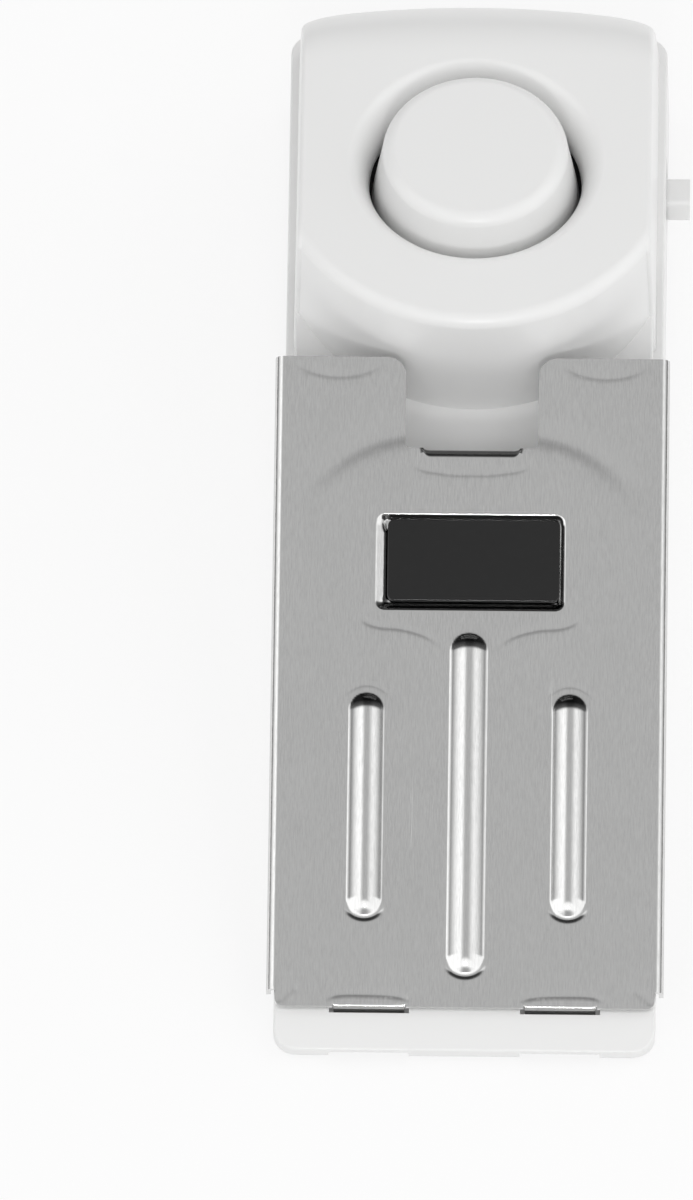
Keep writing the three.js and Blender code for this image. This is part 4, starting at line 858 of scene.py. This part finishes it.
for run, _, half, _ in press_lines:
    for here, after in zip(run, run[1:]):
        out = Vector((here.y - after.y, after.x - here.x)).normalized()
        for reach in (-1.7, -1.1, -0.7, -0.35, 0.0, 0.35, 0.7, 1.1, 1.7):
            point = (here + after) / 2 + out * reach * half
            if abs(point.x) < half_flat - 0.1 and 0.3 < point.y < plate_long - 0.3:
                inner_points.append((point.x, point.y))
free_points = [point for point in inner_points if clear_of_outline(point)]
flat_points = [Vector(point) for point in outline + free_points]
flat_points, _, flat_faces, *_ = delaunay_2d_cdt(flat_points, [], [list(range(len(outline)))], 1, 1e-5)
used = sorted({corner for face in flat_faces for corner in face})
renumber = {corner: i for i, corner in enumerate(used)}
flat_faces = [tuple(renumber[corner] for corner in face) for face in flat_faces]
flat_points = [flat_points[corner] for corner in used]


def sheet_normal(point):
    # From the slopes across and along; a tab's slope across is taken clear of its ends
    step = 0.004
    x, y = point
    near = region(x, y, 1e-4)
    across_at, along_at = x, (x, y)
    if near == "hinge":
        across_at = math.copysign(hinge_at, x)
        along_at = (across_at, y)
    elif near == "catch":
        across_at = min(max(x, step - catch_half), catch_half - step)
    elif y < hinge_start + step:
        along_at = (20, 40)
    a, b = sheet_point(across_at + step, y), sheet_point(across_at - step, y)
    if near == "sheet" and x and y < hinge_start:
        a, b = Vector((1, 0, 0)), Vector((0, 0, 0))
    c, d = sheet_point(along_at[0], along_at[1] + step), sheet_point(along_at[0], along_at[1] - step)
    return (a - b).cross(c - d).normalized()


top = [sheet_point(point.x, point.y) for point in flat_points]
normals = [sheet_normal(point) for point in flat_points]
plate_form = bmesh.new()
upper = [plate_form.verts.new(point) for point in top]
under = [plate_form.verts.new(point - normal * sheet) for point, normal in zip(top, normals)]
for face in flat_faces:
    plate_form.faces.new([upper[corner] for corner in face])
    plate_form.faces.new([under[corner] for corner in reversed(face)])
around = {(face[i - 1], face[i]) for face in flat_faces for i in range(len(face))}
for a, b in around:
    if (b, a) not in around:
        plate_form.faces.new([upper[b], upper[a], under[a], under[b]])
bmesh.ops.recalc_face_normals(plate_form, faces=plate_form.faces)
contact_plate = bpy.data.objects.new("press_plate", bpy.data.meshes.new("press_plate"))
plate_form.to_mesh(contact_plate.data)
plate_form.free()
contact_plate.data.transform(to_metres @ Matrix.Translation((0, nose, 0)))
collection.objects.link(contact_plate)
contact_plate.data.shade_smooth()
count = len(normals)
corner_normals = []
for polygon in contact_plate.data.polygons:
    tops = sum(corner < count for corner in polygon.vertices)
    for corner in polygon.vertices:
        if tops == len(polygon.vertices):
            corner_normals.append(normals[corner])
        else:
            corner_normals.append(polygon.normal.copy() if tops else -normals[corner - count])
contact_plate.data.normals_split_custom_set(corner_normals)


def worked(tree, operation, first, second=0.0):
    return shader_node(tree, "Math", {"operation": operation}, _0=first, _1=second).outputs[0]


steel, tree, shader, place = blank_finish("stainless_sheet", 0.13, 1.0)
grain = noise(tree, stretched(tree, place, (7000.0, 700.0, 700.0)), 1.0, 5.0, 0.7)
haze = noise(tree, place, 160.0, 3.0)
clean = tinted(tree, haze, (0.775, 0.775, 0.77), (0.735, 0.735, 0.73))
worn = tinted(tree, haze, (0.70, 0.70, 0.695), (0.66, 0.66, 0.655))
streaked = mixed(tree, varied(tree, grain, 0.0, 1.0), clean, worn)
# Painted reflection: the colour is painted near black on slopes that face the head, standing in for a mirror of
# the dark gap under it, and on the hooks' upright faces, standing in for the shaded nose
facing = shader_node(tree, "SeparateXYZ", Vector=shader_node(tree, "NewGeometry").outputs["Normal"]).outputs
to_head = varied(tree, facing["Y"], 0.0, 0.9, -0.14, 0.1)
to_nose = varied(tree, facing["Y"], 0.45, 0.0, -0.95, -0.75)
outward = varied(tree, facing["Z"], 0.0, 1.0, -0.2, 0.0)
shade = worked(tree, "MULTIPLY", worked(tree, "ADD", to_head, to_nose), outward)
sway = bumped(tree, noise(tree, place, 70.0, 1.0), 0.3, 0.0001)
brushed = bumped(tree, grain, 0.5, 0.00001, sway)
strokes = noise(tree, stretched(tree, place, (1500.0, 60.0, 60.0), 0.35), 1.0, 0.0)
scored = bumped(tree, varied(tree, strokes, 0.0, 1.0, 0.83, 0.86), 0.3, 0.00002, brushed, True)
# The painted dark reflection goes into the steel's colour here
painted_dark_reflection = mixed(tree, shade, streaked, (0.03, 0.03, 0.03, 1))
fed(tree, shader, painted_dark_reflection, varied(tree, grain, 0.09, 0.19), scored)
dressed(contact_plate, steel, "plate", "contact_plate")


# Name plate: a small glossy black plate with rounded corners, glued into the plate's pocket. It is bare.
label_outline = rounded_rectangle(10.3, 5.1, 0.8, 0.42, 0.3 + pocket_middle)
name_plate = eased_prism("label", label_outline, -0.5, -0.12, on_plate, 0.0, 0.12)
gloss, tree, shader, place = blank_finish("black_gloss", 0.1)
film = noise(tree, place, 900.0, 3.0)
black = tinted(tree, film, (0.005, 0.005, 0.005), (0.009, 0.009, 0.009))
fed(tree, shader, black, varied(tree, film, 0.07, 0.14))
dressed(softened(name_plate, 30), gloss, "plate", "name_plate")


# Return spring: one spring-steel wire, its end turns laid closer. It stands in a cup in the deck under the
# plate, which presses it shorter; here it is built at one length.
def geometry_node(tree, kind, settings=None, **values):
    return node_of(tree, "GeometryNode" + kind, settings, **values).outputs[0]


def vector_of(tree, x=0.0, y=0.0, z=0.0):
    return shader_node(tree, "CombineXYZ", X=x, Y=y, Z=z).outputs[0]


def recipe(name, sizes):
    # A node tree with named inputs, and the three tools that lay nodes in it: form, work and vector
    tree = bpy.data.node_groups.new(name, "GeometryNodeTree")
    tree.interface.new_socket("Geometry", in_out="OUTPUT", socket_type="NodeSocketGeometry")
    kinds = {int: "NodeSocketInt", float: "NodeSocketFloat", tuple: "NodeSocketVector"}
    for label, value in sizes.items():
        tree.interface.new_socket(label, in_out="INPUT", socket_type=kinds[type(value)]).default_value = value
    given, result = tree.nodes.new("NodeGroupInput"), tree.nodes.new("NodeGroupOutput")
    tools = [partial(tool, tree) for tool in (geometry_node, worked, vector_of)]
    return tree, given.outputs, result.inputs[0], *tools


def joined(tree, *forms):
    join = tree.nodes.new("GeometryNodeJoinGeometry")
    for form in forms:
        tree.links.new(form, join.inputs[0])
    return join.outputs[0]


def places_of(tree):
    place = node_of(tree, "GeometryNodeInputPosition").outputs[0]
    return shader_node(tree, "SeparateXYZ", _0=place).outputs


def swept(tree, line, section):
    # A wire along a line, with closed ends
    wire = node_of(tree, "GeometryNodeCurveToMesh", Curve=line, Profile_Curve=section)
    wire.inputs["Fill Caps"].default_value = True
    return wire.outputs[0]


def closed(tree, form, finish, result):
    realised = geometry_node(tree, "RealizeInstances", Geometry=form)
    tree.links.new(geometry_node(tree, "SetMaterial", Geometry=realised, Material=finish), result)
    return tree


def grown(name, tree, **sizes):
    piece = bpy.data.objects.new(name, bpy.data.meshes.new(name))
    collection.objects.link(piece)
    form = piece.modifiers.new("form", "NODES")
    form.node_group = tree
    for socket in tree.interface.items_tree:
        key = socket.name.replace(" ", "_")
        if socket.in_out == "INPUT" and key in sizes:
            form[socket.identifier] = sizes[key]
    settled(piece)
    piece.data.transform(to_metres @ Matrix.Translation((0, nose, 0)))
    return softened(piece, 35)


def wound_wire(name, finish):
    sizes = {"Coil Radius": 2.9, "Wire Radius": 0.28, "Turns": 4.0, "Height": 5.3, "Even Share": 0.45}
    sizes |= {"Lean": 0.0, "Place": (0.0, 0.0, 0.0), "Steps": 28}
    tree, given, result, form, work, vector = recipe(name, sizes)
    ends = {"Start_Radius": given["Coil Radius"], "End_Radius": given["Coil Radius"]}
    winds = {"Resolution": given["Steps"], "Rotations": given["Turns"], "Height": given["Height"]}
    helix = form("CurveSpiral", **winds, **ends)
    at = places_of(tree)
    share = work("DIVIDE", at["Z"], given["Height"])
    eased = varied(tree, share, 0.0, 1.0, 0.0, 1.0, "SMOOTHSTEP")
    even = work("MULTIPLY", share, given["Even Share"])
    rest = work("MULTIPLY", eased, work("SUBTRACT", 1.0, given["Even Share"]))
    height = work("MULTIPLY", work("ADD", even, rest), given["Height"])
    paced = form("SetPosition", Geometry=helix, Position=vector(at["X"], at["Y"], height))
    wire = swept(tree, paced, form("CurvePrimitiveCircle", Resolution=10, Radius=given["Wire Radius"]))
    stood = form("Transform", Geometry=wire, Translation=given["Place"], Rotation=vector(given["Lean"]))
    return closed(tree, stood, finish, result)


spring_steel = speckled("spring_steel", (0.60, 0.60, 0.61), (0.54, 0.54, 0.55), 0.28, 2200.0, 1.0, 0.15)
spring_low = -1.82
base_y = cup_along - spring_low * math.sin(slope_angle)
base_z = slope_at(cup_along) + spring_low * math.cos(slope_angle)
coil_spring = wound_wire("coil_spring", spring_steel)
spring = grown("pressure_spring", coil_spring, Lean=slope_angle, Place=(0.0, base_y, base_z))
dressed(spring, spring_steel, "root", "return_spring")
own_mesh(spring)


# Battery: a 9 volt block in a dark rolled steel jacket with crimped ends, on the sliding door. Its snap
# connector of soft black plastic grips the two plated studs, and a foam block holds it down.
cell_front, cell_back, crimp_long, stud_high, stud_out = 91.6, 137.3, 0.8, 11.65, 6.35


def along_length(u, v, height):
    return u, height, v + stud_high


jacket, tree, shader, place = blank_finish("battery_jacket", 0.32, 0.6)
rolls = noise(tree, stretched(tree, place, (500.0, 6000.0, 500.0)), 1.0, 4.0)
paint = tinted(tree, noise(tree, place, 120.0, 3.0), (0.030, 0.036, 0.048), (0.045, 0.052, 0.066))
fed(tree, shader, paint, varied(tree, rolls, 0.26, 0.40), bumped(tree, rolls, 0.15, 0.00002))
cell_loop, recess_loop = rounded_rectangle(13.25, 8.75, 2), rounded_rectangle(12.3, 7.8, 1.5)
battery = eased_prism("cell_block", cell_loop, cell_front + 0.5, cell_back - 0.5, along_length, 0.4, 0.4)
crimps, recesses = [], []
for low, high in ((cell_front, cell_front + crimp_long), (cell_back - crimp_long, cell_back)):
    crimps.append(eased_prism("crimp", cell_loop, low, high, along_length, 0.25, 0.25))
for low, high in ((cell_front - 0.4, cell_front + 0.3), (cell_back - 0.3, cell_back + 0.4)):
    recesses.append(eased_prism("end_recess", recess_loop, low, high, along_length))
combined(combined(battery, "UNION", *crimps), "DIFFERENCE", *recesses)
dressed(softened(battery, 30), jacket, "root", "battery")

zinc = speckled("zinc_steel", (0.70, 0.70, 0.72), (0.62, 0.62, 0.64), 0.3, 900.0, 1.0, 0.12)
stud_line = [(0, 0.0), (2.9, 0.0), (2.9, 0.5), (2.3, 0.9), (2.3, 1.6), (2.75, 2.0), (2.75, 2.3), (2.4, 2.5)]
stud_line += [(0, 2.5)]
socket_line = [(0, 0.0), (3.9, 0.0), (3.9, 0.4), (3.3, 0.8), (3.15, 2.1), (3.5, 2.3), (3.5, 2.5), (3.0, 2.5)]
socket_line += [(2.6, 2.2), (2.6, 0.6), (0, 0.6)]
for name, x, line in (("positive", stud_out, stud_line), ("negative", -stud_out, socket_line)):
    lay = Matrix.Translation((x, nose + cell_front - 0.3, stud_high)) @ Matrix.Rotation(math.pi / 2, 4, "X")
    stud = laid(turned_form(name + "_stud", line, 0, 0, 48), lay)
    dressed(softened(stud, 30), zinc, "root", "battery_terminal_" + name)
copied("battery_snap", "snap_connector", 0.0005, black_plastic, "root", 3)
copied("battery_foam", "hold_down_foam", 0.0006, foam, "root", 3)


# Circuit board: 1.2 mm glass laminate under green solder mask, on two posts, with a chip, a boost coil,
# a capacitor, a driver transistor and a lever switch that the plate's catch presses.
green_board, tree, shader, place = blank_finish("green_board", 0.34)
paints = {"Color1": (0.02, 0.11, 0.045, 1), "Color2": (0.024, 0.125, 0.052, 1)}
paints["Mortar"] = (0.035, 0.17, 0.07, 1)
lanes = shader_node(tree, "TexBrick", Vector=place, Scale=900.0, Mortar_Size=0.08, **paints).outputs
facing = shader_node(tree, "SeparateXYZ", Vector=shader_node(tree, "NewGeometry").outputs["Normal"]).outputs
flat_side = varied(tree, worked(tree, "ABSOLUTE", facing["Z"]), 0.0, 1.0, 0.4, 0.6)
rough = varied(tree, noise(tree, place, 2600.0, 2.0), 0.28, 0.42)
sided = mixed(tree, flat_side, (0.42, 0.36, 0.20, 1), lanes["Color"])
fed(tree, shader, sided, rough, bumped(tree, lanes["Fac"], 0.4, 0.00003))
copied("circuit_board", "main_board", 0.00012, green_board)

copied("trigger_switch_body", "lever_switch_case", 0.0002, black_plastic)
red_plastic = speckled("red_plastic", (0.45, 0.02, 0.02), (0.40, 0.016, 0.016), 0.3, 2600.0)
copied("trigger_switch_button", "lever_switch_button", 0.0003, red_plastic, "trigger_button", 3, 50)
copied("trigger_switch_lever", "lever_switch_blade", 0.0001, spring_steel, "trigger_lever", 2, 50)

board_top, chip_at, first_pin, pin_pitch = 6.1, 46.23, -8.905, 1.27
chip = eased_copy("controller_chip", "controller", 0.00018)
leg_line = [(2.35, 0.62), (2.9, 0.62), (3.1, 0.42), (3.15, -0.12), (3.6, -0.12), (3.6, -0.28), (3.0, -0.28)]
leg_line += [(2.94, 0.3), (2.35, 0.46)]
legs = []
for side in (-1, 1):
    line = [(chip_at + side * y, board_top + z) for y, z in leg_line]
    for x in (first_pin + pin_pitch * i for i in range(4)):
        legs.append(eased_prism("leg", line, x - 0.2, x + 0.2, sideways))
combined(chip, "UNION", *legs)
dressed(softened(chip, 32), black_plastic, "root", "controller_chip")

copper = speckled("copper_enamel", (0.26, 0.08, 0.03), (0.33, 0.11, 0.04), 0.3, 1500.0, 0.8, 0.2)
coil_at = (11, 66.49)
bobbin_line = [(0, 6.1), (3.5, 6.1), (3.6, 6.2), (3.6, 6.8), (3.5, 6.9), (2.6, 6.9), (2.6, 10.28), (3.5, 10.28)]
bobbin_line += [(3.6, 10.38), (3.6, 10.98), (3.5, 11.08), (0.9, 11.08), (0.7, 10.7), (0, 10.7)]
dressed(softened(turned_form("coil_bobbin", bobbin_line, *coil_at, 64), 30), copper, "root", "boost_coil")
turns = {"Coil_Radius": 2.72, "Wire_Radius": 0.17, "Turns": 10.0, "Height": 3.0, "Even_Share": 1.0, "Steps": 24}
winding = grown("coil_winding", wound_wire("coil_wire", copper), **turns, Place=(*map(float, coil_at), 7.09))
dressed(winding, copper, "root", "boost_coil")

can_line = [(0, 6.1), (2.35, 6.1), (2.5, 6.25), (2.5, 6.7), (2.32, 6.9), (2.32, 7.1), (2.5, 7.3), (2.5, 11.1)]
can_line += [(2.27, 11.33), (1.9, 11.33), (1.85, 11.25), (0, 11.25)]
dressed(softened(turned_form("smoothing_can", can_line, -6.2, 67.59, 64), 30), jacket, "root", "capacitor")
driver = eased_copy("siren_transistor", "driver_transistor", 0.0002, 2, 50)
leads = [rod("lead", 0.22, 5.7 + pin_pitch * i, 60.3, 5.72, 6.4, 12) for i in (-1, 0, 1)]
combined(driver, "UNION", *leads)
dressed(softened(driver, 50), black_plastic, "root", "siren_transistor")


# Wires: soft PVC sleeved pairs from the snap connector, the siren and the slide switch. Their ends are
# soldered to the board.
def sleeved(node, finish):
    form = bmesh.new()
    form.from_mesh(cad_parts[node].data)
    bmesh.ops.remove_doubles(form, verts=form.verts, dist=2e-6)
    piece = bpy.data.objects.new(node + "_sleeve", bpy.data.meshes.new(node + "_sleeve"))
    form.to_mesh(piece.data)
    form.free()
    collection.objects.link(piece)
    rounder = piece.modifiers.new("round", "SUBSURF")
    rounder.levels = rounder.render_levels = 1
    settled(piece).data.shade_smooth()
    dressed(piece, finish, "root", node)


for pair in ("battery_wire", "siren_wire"):
    sleeved(pair + "_red", red_plastic)
    sleeved(pair + "_black", black_plastic)
sleeved("switch_wire_outer", red_plastic)
sleeved("switch_wire_inner", black_plastic)


# Screws: zinc plated pan heads with a cross recess and a coarse thread. Four hold the shells together from
# below, two hold the siren and two the board.
def screw_recipe():
    sizes = {"Head Radius": 2.5, "Head Height": 1.5, "Shank Radius": 1.25, "Length": 8.0, "Cross Width": 0.5}
    sizes |= {"Cross Reach": 1.6, "Thread Pitch": 0.9, "Flip": 0.0, "Across Count": 2, "Along Count": 1}
    sizes |= {"First": (0.0, 0.0, 0.0), "Across": (1.0, 0.0, 0.0), "Along": (0.0, 1.0, 0.0)}
    tree, given, result, form, work, vector = recipe("cross_head_screw", sizes)
    high, reach = given["Head Height"], given["Head Radius"]
    blank = form("MeshCylinder", Vertices=40, Side_Segments=3, Fill_Segments=4, Radius=reach, Depth=high)
    blank = form("Transform", Geometry=blank, Translation=vector(0.0, 0.0, work("MULTIPLY", high, -0.5)))
    at = places_of(tree)
    out = shader_node(tree, "VectorMath", {"operation": "LENGTH"}, _0=vector(at["X"], at["Y"])).outputs["Value"]
    fall = work("POWER", work("DIVIDE", out, reach), 4.0)
    left = work("SUBTRACT", 1.0, work("MULTIPLY", fall, 0.4))
    domed_at = vector(at["X"], at["Y"], work("MULTIPLY", at["Z"], left))
    domed = form("SetPosition", Geometry=blank, Position=domed_at)
    arm, width = work("MULTIPLY", given["Cross Reach"], 2.0), given["Cross Width"]
    arms = [form("MeshCube", Size=vector(*size, high)) for size in ((arm, width), (width, arm))]
    foot = vector(0.0, 0.0, work("MULTIPLY", high, -1.0))
    cross = form("Transform", Geometry=joined(tree, *arms), Translation=foot)
    cut = tree.nodes.new("GeometryNodeMeshBoolean")
    cut.operation, cut.solver = "DIFFERENCE", "EXACT"
    tree.links.new(domed, cut.inputs[0])
    tree.links.new(cross, cut.inputs[1])
    cut.inputs["Self Intersection"].default_value = True
    core, straight = work("MULTIPLY", given["Shank Radius"], 0.8), work("SUBTRACT", given["Length"], 1.5)
    middle = vector(0.0, 0.0, work("MULTIPLY", straight, 0.5))
    shank = form("MeshCylinder", Vertices=28, Radius=core, Depth=straight)
    shank = form("Transform", Geometry=shank, Translation=middle)
    tip = form("MeshCone", Vertices=28, Radius_Top=0.2, Radius_Bottom=core, Depth=1.5)
    tip = form("Transform", Geometry=tip, Translation=vector(0.0, 0.0, straight))
    turns = work("DIVIDE", straight, given["Thread Pitch"])
    ends = {"Start_Radius": core, "End_Radius": core}
    thread_line = form("CurveSpiral", Resolution=22, Rotations=turns, Height=straight, **ends)
    rise = work("SUBTRACT", given["Shank Radius"], core)
    thread = swept(tree, thread_line, form("CurvePrimitiveCircle", Resolution=4, Radius=rise))
    whole = joined(tree, cut.outputs[0], shank, tip, thread)
    whole = form("Transform", Geometry=whole, Rotation=vector(given["Flip"]))
    apart = {"mode": "OFFSET"}
    first_row = {"Count": given["Across Count"], "Start_Location": given["First"], "Offset": given["Across"]}
    row = form("MeshLine", apart, **first_row)
    rows = form("MeshLine", apart, Count=given["Along Count"], Offset=given["Along"])
    spots = form("RealizeInstances", Geometry=form("InstanceOnPoints", Points=rows, Instance=row))
    return closed(tree, form("InstanceOnPoints", Points=spots, Instance=whole), zinc, result)


screws = screw_recipe()
first, apart = (-screw_out, float(screw_rows[0]), 1.9), float(screw_rows[1] - screw_rows[0])
four = {"First": first, "Across": (2 * screw_out, 0.0, 0.0), "Along": (0.0, apart, 0.0), "Along_Count": 2}
dressed(grown("housing_screws", screws, **four), zinc, "root", *[f"housing_screw_{i}" for i in (1, 2, 3, 4)])
small = {"Head_Radius": 2.0, "Head_Height": 1.2, "Shank_Radius": 1.0, "Length": 6.0}
small |= {"Cross_Reach": 1.2, "Cross_Width": 0.4, "Thread_Pitch": 0.8}
small |= {"First": (*ears[0], 24.3), "Across": (2 * ear_out, 2 * ear_out, 0.0)}
dressed(grown("siren_screws", screws, **small), zinc, "root", "holder_screw_1", "holder_screw_2")
small |= {"Head_Radius": 1.9, "Head_Height": 1.1, "Shank_Radius": 0.9, "Length": 4.2}
small |= {"Cross_Reach": 1.1, "Thread_Pitch": 0.7, "Flip": math.pi}
(near_x, near_y), (far_x, far_y) = board_posts
small |= {"First": (near_x, near_y, board_top), "Across": (far_x - near_x, far_y - near_y, 0.0)}
dressed(grown("board_screws", screws, **small), zinc, "root", "board_screw_1", "board_screw_2")


# Grip pads: dark grey rubber glued into shallow pockets under the wedge. Each has a rim round it and fine
# ribs across.
def pad_recipe(finish):
    sizes = {"Half X": 14.0, "Half Y": 31.0, "Corner": 3.0, "Thickness": 0.9, "Rib Pitch": 1.5}
    sizes |= {"Rib Radius": 0.3, "Place": (0.0, 0.0, 0.0)}
    tree, given, result, form, work, vector = recipe("ribbed_pad", sizes)
    round_by, half_x, half_y = given["Rib Radius"], given["Half X"], given["Half Y"]
    plan = {"Width": work("MULTIPLY", half_x, 2.0), "Height": work("MULTIPLY", half_y, 2.0)}
    outline = form("CurvePrimitiveQuadrilateral", **plan)
    rounded = form("FilletCurve", {"mode": "POLY"}, Curve=outline, Radius=given["Corner"], Count=7)
    base = form("FillCurve", {"mode": "NGONS"}, Curve=rounded)
    up = work("SUBTRACT", given["Thickness"], round_by)
    lid = form("ExtrudeMesh", Mesh=base, Offset_Scale=up, Individual=False)
    slab = form("MergeByDistance", Geometry=joined(tree, lid, form("FlipFaces", Mesh=base)))
    level = vector(0.0, 0.0, round_by)
    slab = form("Transform", Geometry=slab, Translation=level)
    inner_x, inner_y = (work("DIVIDE", work("SUBTRACT", half, round_by), half) for half in (half_x, half_y))
    drawn = form("Transform", Geometry=rounded, Scale=vector(inner_x, inner_y, 1.0), Translation=level)
    section = form("CurvePrimitiveCircle", Resolution=12, Radius=round_by)
    rim = form("CurveToMesh", Curve=drawn, Profile_Curve=section)
    bar_long = work("MULTIPLY", work("SUBTRACT", half_x, 1.1), 2.0)
    bar = form("MeshCylinder", Vertices=12, Radius=round_by, Depth=bar_long)
    bar = form("Transform", Geometry=bar, Rotation=vector(0.0, math.pi / 2))
    half_run = work("SUBTRACT", half_y, given["Corner"])
    count = work("FLOOR", work("DIVIDE", work("MULTIPLY", half_run, 2.0), given["Rib Pitch"]))
    start = vector(0.0, work("MULTIPLY", half_run, -1.0), round_by)
    step = vector(0.0, given["Rib Pitch"])
    spots = form("MeshLine", {"mode": "OFFSET"}, Count=count, Start_Location=start, Offset=step)
    bars = form("InstanceOnPoints", Points=spots, Instance=bar)
    whole = form("Transform", Geometry=joined(tree, slab, rim, bars), Translation=given["Place"])
    return closed(tree, whole, finish, result)


rubber = speckled("grey_rubber", (0.078, 0.078, 0.082), (0.092, 0.092, 0.096), 0.85, 3800.0, 0.0, 0.5, 0.00004)
pads = pad_recipe(rubber)
dressed(grown("front_pad", pads, Place=(0.0, front_pad_at, 0.0)), rubber, "root", "grip_pad_front")
for side, name in ((-1, "left"), (1, "right")):
    place = (side * rear_pad_out, rear_pad_at, 0.0)
    rear_pad = grown(name + "_pad", pads, Half_X=3.2, Half_Y=20.0, Corner=1.2, Place=place)
    dressed(rear_pad, rubber, "root", "grip_pad_" + name)


# Light, floor and camera: a white table under broad soft lamps, seen from above the nose with a long lens.
# What shiny surfaces see of the sky is two side panels and one in front; other surfaces see an even sky.
world = bpy.data.worlds.new("studio")
bpy.context.scene.world = world
world.use_nodes = True
tree = world.node_tree
sky = tree.nodes["Background"]
sky.inputs["Color"].default_value = (1, 1, 1, 1)
even_sky, panel_light = 0.44, 0.58


def ramp(source, start, end, low, high):
    return varied(tree, source, low, high, start, end, "SMOOTHSTEP")


toward = shader_node(tree, "SeparateXYZ", Vector=shader_node(tree, "TexCoord").outputs["Generated"]).outputs
sides = worked(tree, "ADD", ramp(toward["X"], 0.14, 0.6, 0.0, 0.7), ramp(toward["X"], -0.42, -0.12, 0.85, 0.0))
front_band = ramp(toward["Y"], -0.6, -0.25, 0.75, 0.0), ramp(toward["Y"], -0.97, -0.86, 0.0, 1.0)
brightest = worked(tree, "MAXIMUM", sides, worked(tree, "MULTIPLY", *front_band))
behind = ramp(toward["Y"], 0.03, 0.34, 1.0, 0.08)
shiny_sky = worked(tree, "MULTIPLY", worked(tree, "ADD", brightest, panel_light), behind)
shiny = shader_node(tree, "LightPath").outputs["Is Glossy Ray"]
dull = worked(tree, "MULTIPLY", worked(tree, "SUBTRACT", 1.0, shiny), even_sky)
strength = worked(tree, "ADD", worked(tree, "MULTIPLY", shiny, shiny_sky), dull)
tree.links.new(strength, sky.inputs["Strength"])

floor_mesh = bpy.data.meshes.new("floor")
floor_mesh.from_pydata([(-2, -2, 0), (2, -2, 0), (2, 2, 0), (-2, 2, 0)], [], [(0, 1, 2, 3)])
floor = bpy.data.objects.new("floor", floor_mesh)
collection.objects.link(floor)
# Rays from the camera and in reflections see the paper mostly as a lit white, so that its shadow stays faint
paper = bpy.data.materials.new("paper")
paper.use_nodes = True
tree = paper.node_tree
tree.nodes.clear()
matt = shader_node(tree, "BsdfDiffuse", Color=(0.9, 0.9, 0.9, 1)).outputs[0]
white = shader_node(tree, "Emission", Color=(1, 1, 1, 1), Strength=1.0).outputs[0]
ray = shader_node(tree, "LightPath").outputs
seen = worked(tree, "MAXIMUM", ray["Is Camera Ray"], ray["Is Glossy Ray"])
seen = worked(tree, "MAXIMUM", seen, ray["Is Transmission Ray"])
blend = shader_node(tree, "MixShader", _0=worked(tree, "MULTIPLY", seen, 0.8), _1=matt, _2=white)
shader_node(tree, "OutputMaterial", Surface=blend.outputs[0])
floor_mesh.materials.append(paper)


def softbox(name, place, width, height, power, aim=(0, 0, 0.015)):
    lamp = bpy.data.lights.new(name, "AREA")
    lamp.shape = "RECTANGLE"
    lamp.size, lamp.size_y, lamp.energy = width, height, power
    box = bpy.data.objects.new(name, lamp)
    box.location = place
    box.rotation_euler = (Vector(aim) - Vector(place)).to_track_quat("-Z", "Y").to_euler()
    box.visible_glossy = width < 1
    collection.objects.link(box)


softbox("left_box", (-0.77, 0.25, 0.655), 1.4, 1.11, 3.15)
softbox("right_box", (0.77, 0.25, 0.655), 1.4, 1.11, 4.7)
softbox("front_box", (0.02, -0.84, 0.56), 0.09, 0.07, 1.1)
softbox("front_panel", (0.02, -0.8, 0.72), 1.1, 0.5, 2.95)

camera_away = 3.174
camera_turn, camera_down, camera_roll = math.radians(1.432), math.radians(54.107), math.radians(-0.610)
ahead = math.cos(camera_down)
look = Vector((-math.sin(camera_turn) * ahead, math.cos(camera_turn) * ahead, -math.sin(camera_down)))
level = Vector((math.cos(camera_turn), math.sin(camera_turn), 0))
rise = level.cross(look)
right = level * math.cos(camera_roll) + rise * math.sin(camera_roll)
above = rise * math.cos(camera_roll) - level * math.sin(camera_roll)
lens = bpy.data.cameras.new("camera")
lens.sensor_fit, lens.sensor_height = "VERTICAL", 36
lens.lens, lens.clip_end = 794.7, 20
camera = bpy.data.objects.new("camera", lens)
stand = Vector((0, -0.002, 0.015)) - look * camera_away - right * 0.0150 - above * 0.0109
camera.matrix_world = Matrix.Translation(stand) @ Matrix((right, above, -look)).transposed().to_4x4()
collection.objects.link(camera)
bpy.context.scene.camera = camera
bpy.context.scene.view_settings.view_transform = "Standard"
